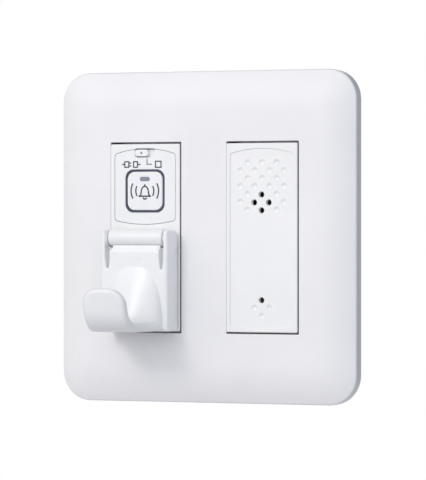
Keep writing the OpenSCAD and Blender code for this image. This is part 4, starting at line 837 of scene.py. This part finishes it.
def rowMarks():
    x, z, w = marks["x"], marks["rowZ"], marks["fine"]
    front, rear = face["front"] - marks["thick"], face["front"] + marks["sunk"]
    box = lambda low, high, tall: [(low, -tall), (high, -tall), (high, tall), (low, tall)]
    dash = lambda low, high, v: [(low, v), (high, v)]
    lines = [  # plug and socket, and on the right a stop square
        (dash(-9.2, -8.1, 0), False), (box(-8.1, -6.5, 1.0), True),
        (dash(-6.4, -5.5, 0.5), False), (dash(-6.4, -5.5, -0.5), False),
        (box(-4.6, -3.0, 1.0), True), (dash(-2.9, -1.8, 0), False), (box(4.2, 6.4, 1.1), True),
    ]
    placed = [([(x + u, z + v) for u, v in line], closed) for line, closed in lines]
    return gather([addLine("rowMarks", line, w, front, rear, closed) for line, closed in placed])


def leaderMark():
    line = [(marks["x"] + u, v) for u, v in marks["leader"]]
    front, rear = face["front"] - marks["thick"], face["front"] + marks["sunk"]
    return addLine("leaderMark", line, marks["leaderWidth"], front, rear)


def knobDot():
    x, (front, rear) = call["middle"] + call["knobRest"], marks["dotDepth"]
    return addRod("knobDot", marks["dotRadius"], (x, front, call["knobZ"]), (x, rear, call["knobZ"]), 24)


hand(bellMark(), "button", finishes["ink"])
hand(rowMarks(), "base", finishes["ink"])
hand(leaderMark(), "base", finishes["greyInk"])
hand(knobDot(), "slider", finishes["paleInk"])
print("marks printed")


hook = {
    "middle": -23, "halfWidth": 13.35, "front": -17.95, "inner": -15.75, "rear": -8.75, "top": 2.45, "bottom": -34.0,
    "clearFront": -20, "cheekInner": 11.6, "axis": (-14.45, -0.2), "cheekRise": 2.65, "edge": 0.8,
    "tongueTop": -2.9, "tongueHalf": 9.86, "tongueBevel": (2.5, 1.05), "notch": (0.9, 4.6), "notchBack": (-14, -16.8),
    "slitBend": -5.6, "slitFloor": -14.9, "slitPoint": -13.0, "slitMiddle": 10.75,
    "ribMiddle": 10.5, "ribHalf": 1.1, "ribY": (-15.85, -14.2), "ribZ": (-13.8, -3.7),
    "padRadius": 3.0, "padX": (11.0, 12.4), "boreRadius": 1.05, "boreHalf": 12.35,
    "roomRadius": 3.36, "roomHalf": 10.95,
    "rootTop": -10.65, "rootHalf": 11.4, "rootSwell": 7.2, "rootArch": 2.4, "rootCrown": 1.8,
    "floorTop": -30.7, "floorBottom": -33.9, "strapRear": -17,
    "lipFront": -45.4, "lipInner": -42.1, "lipTop": -18.1, "lipHalf": 8.35, "lipCorner": 6.0, "lipEdge": 1.6,
    "lean": 14, "bend": 10, "innerBend": 6.6, "voxel": 0.3, "smoothing": 7,
}


def coverShell():
    m, w = hook["middle"], hook["halfWidth"]
    shell = addBlock("hookCover", (m - w, hook["front"], hook["bottom"]), (m + w, hook["rear"], hook["top"]))
    rearTop = lambda a, b: atDepth(hook["rear"])(a, b) and near(a.z, hook["top"]) and near(b.z, hook["top"])
    roundEdges(shell, rearTop, hook["cheekRise"], 8)
    roundEdges(shell, atDepth(hook["front"]), hook["edge"], 4)
    inner = hook["cheekInner"]
    cut(shell, addBlock("channel", (m - inner, hook["inner"], -36), (m + inner, -6, 5)),
        addBlock("window", (m - inner, hook["clearFront"], hook["tongueTop"]), (m + inner, -14, 5)))
    (ribFront, ribRear), (ribLow, ribHigh) = hook["ribY"], hook["ribZ"]
    for side in (-1, 1):  # a rib behind each slit closes it
        x, half = m + side * hook["ribMiddle"], hook["ribHalf"]
        join(shell, addBlock("rib", (x - half, ribFront, ribLow), (x + half, ribRear, ribHigh)))
    front, top, (down, back) = hook["front"], hook["tongueTop"], hook["tongueBevel"]
    wedge = [(front - 1, top + 1), (front + back + 0.6, top + 1), (front + back, top), (front, top - down),
             (front - 1, top - down - 0.4)]
    cut(shell, addOutline("bevel", wedge, "X", m - inner, m + inner))
    for side in (-1, 1):
        tongue, middle = hook["tongueHalf"], hook["slitMiddle"]
        points = [(m + side * inner, top + 1), (m + side * tongue, top + 1)]
        bend, fall = hook["slitBend"], hook["slitPoint"] - hook["slitBend"]
        for k in range(13):
            points.append((m + side * (tongue + (middle - tongue) * (k / 12) ** 2.2), bend + fall * k / 12))
        for k in range(8, 0, -1):
            points.append((m + side * (inner + (middle - inner) * (k / 8) ** 1.6), bend + fall * k / 8))
        cut(shell, addOutline("slit", points, "Y", hook["clearFront"], hook["slitFloor"]))
        (wide, deep), edge = hook["notch"], m + side * tongue
        low, high = sorted((edge, edge - side * wide))
        cut(shell, addBlock("notch", (low, hook["clearFront"], -deep), (high, hook["notchBack"][side > 0], top + 1)))
        padStart, padEnd = (m + side * reach for reach in hook["padX"])
        join(shell, addRod("pad", hook["padRadius"], (padStart, *hook["axis"]), (padEnd, *hook["axis"])))
    bore, room = hook["boreHalf"], hook["roomHalf"]
    cut(shell, addRod("bore", hook["boreRadius"], (m - bore, *hook["axis"]), (m + bore, *hook["axis"])),
        addRod("barrelRoom", hook["roomRadius"], (m - room, *hook["axis"]), (m + room, *hook["axis"]), 72))
    return shell


def hookRoot():  # a half cone that swells forward and widens downwards
    deselectAll()
    top, bottom = hook["rootTop"], hook["floorBottom"] + 0.4
    arch, crown = hook["rootArch"], hook["rootCrown"]
    bpy.ops.mesh.primitive_cylinder_add(vertices=96, radius=mm, depth=(top - bottom) * mm,
                                        location=(hook["middle"] * mm, hook["front"] * mm, (top + bottom) / 2 * mm))
    root = settle(bpy.context.object)
    bpy.ops.object.mode_set(mode="EDIT")
    for k in range(1, 24):
        bpy.ops.mesh.select_all(action="SELECT")
        z = top - (top - bottom) * (k / 24) ** 2
        bpy.ops.mesh.bisect(plane_co=(0, 0, z * mm), plane_no=(0, 0, 1))
    bpy.ops.object.mode_set(mode="OBJECT")
    for vertex in root.data.vertices:
        share = min(1, max(0.002, (top - vertex.co.z / mm) / (top - hook["bottom"])))
        half = hook["rootHalf"] * (1 - (1 - share) ** arch) ** (1 / arch)
        depth = hook["rootSwell"] * min(1, (top - vertex.co.z / mm) / (top - hook["floorTop"]))
        angle = math.atan2(hook["front"] - vertex.co.y / mm, vertex.co.x / mm - hook["middle"])
        c, s = math.cos(angle), math.sin(angle)
        vertex.co.x = (hook["middle"] + half * math.copysign(abs(c) ** (2 / crown), c)) * mm
        vertex.co.y = (hook["front"] - depth * s ** (2 / crown) if s > 0 else hook["front"] + abs(s)) * mm
    return root


def hookStrap():  # floor, bend and lip as one band that narrows towards the lip
    lean, thick = math.radians(hook["lean"]), hook["lipInner"] - hook["lipFront"]
    bend, inside, rear = hook["bend"], hook["innerBend"], hook["strapRear"]
    centreZ = hook["floorBottom"] + bend
    slant = lambda z, y: y + (hook["lipTop"] - z) * math.tan(lean)  # Y at z of the face that has y at the top
    centreY = slant(centreZ - bend * math.sin(lean), hook["lipFront"]) + bend * math.cos(lean)
    innerTop, innerZ = hook["lipFront"] + thick / math.cos(lean), hook["floorTop"] + inside
    innerY = slant(innerZ, innerTop) + inside / math.cos(lean)
    side = [(rear, hook["floorBottom"])] + arcPoints((centreY, centreZ), bend, 270, 180 + hook["lean"], 16)
    side += [(hook["lipFront"], hook["lipTop"]), (innerTop, hook["lipTop"])]
    side += arcPoints((innerY, innerZ), inside, 180 + hook["lean"], 270, 12)
    side += [(rear, hook["floorTop"])]
    strap = addOutline("strap", side, "X", -1, 1)
    for vertex in strap.data.vertices:
        share = min(1, max(0, (hook["front"] - vertex.co.y / mm) / (hook["front"] - hook["lipInner"])))
        half = hook["rootHalf"] + (hook["lipHalf"] - hook["rootHalf"]) * share
        vertex.co.x = (hook["middle"] + math.copysign(half, vertex.co.x)) * mm
    atLip = lambda a, b: near(a.z, hook["lipTop"]) and near(b.z, hook["lipTop"]) and near(a.x, b.x)
    roundEdges(strap, atLip, hook["lipCorner"], 12)
    applyModifier(strap, "BEVEL", width=hook["lipEdge"] * mm, segments=4, limit_method="ANGLE",
                  angle_limit=math.radians(35))
    return strap


def makeHookCover():
    cover = join(coverShell(), hookRoot(), hookStrap())
    applyModifier(cover, "REMESH", mode="VOXEL", voxel_size=hook["voxel"] * mm)
    applyModifier(cover, "SMOOTH", factor=0.5, iterations=hook["smoothing"])
    return hand(cover, "hook", finishes["white_satin"], ["hook_cover"], 60)


makeHookCover()
print("hook cover modelled")


def layFloor():
    deselectAll()
    bpy.ops.mesh.primitive_plane_add(size=studio["floorSize"] * mm, location=(0, 0, -studio["floorDrop"] * mm))
    floor = bpy.context.object
    floor.name = "paleFloor"
    finish, nodes, links, shader, _ = startFinish("floorPaint")
    shader.inputs["Base Color"].default_value = (*studio["floorColour"], 1)
    shader.inputs["Roughness"].default_value = 0.9
    through, both = nodes.new("ShaderNodeBsdfTransparent"), nodes.new("ShaderNodeMixShader")
    side = nodes.new("ShaderNodeNewGeometry")
    pale, path = nodes.new("ShaderNodeEmission"), nodes.new("ShaderNodeLightPath")
    share, lit = nodes.new("ShaderNodeMath"), nodes.new("ShaderNodeMixShader")
    pale.inputs["Color"].default_value = (*studio["floorColour"], 1)
    share.operation, share.inputs[1].default_value = "MULTIPLY", studio["floorPale"]
    links.new(path.outputs["Is Camera Ray"], share.inputs[0])
    links.new(share.outputs[0], lit.inputs["Fac"])
    links.new(shader.outputs[0], lit.inputs[1])
    links.new(pale.outputs[0], lit.inputs[2])
    links.new(side.outputs["Backfacing"], both.inputs["Fac"])
    links.new(lit.outputs[0], both.inputs[1])
    links.new(through.outputs[0], both.inputs[2])
    links.new(both.outputs[0], nodes["Material Output"].inputs["Surface"])
    floor.data.materials.append(finish)


layFloor()
print("floor laid")
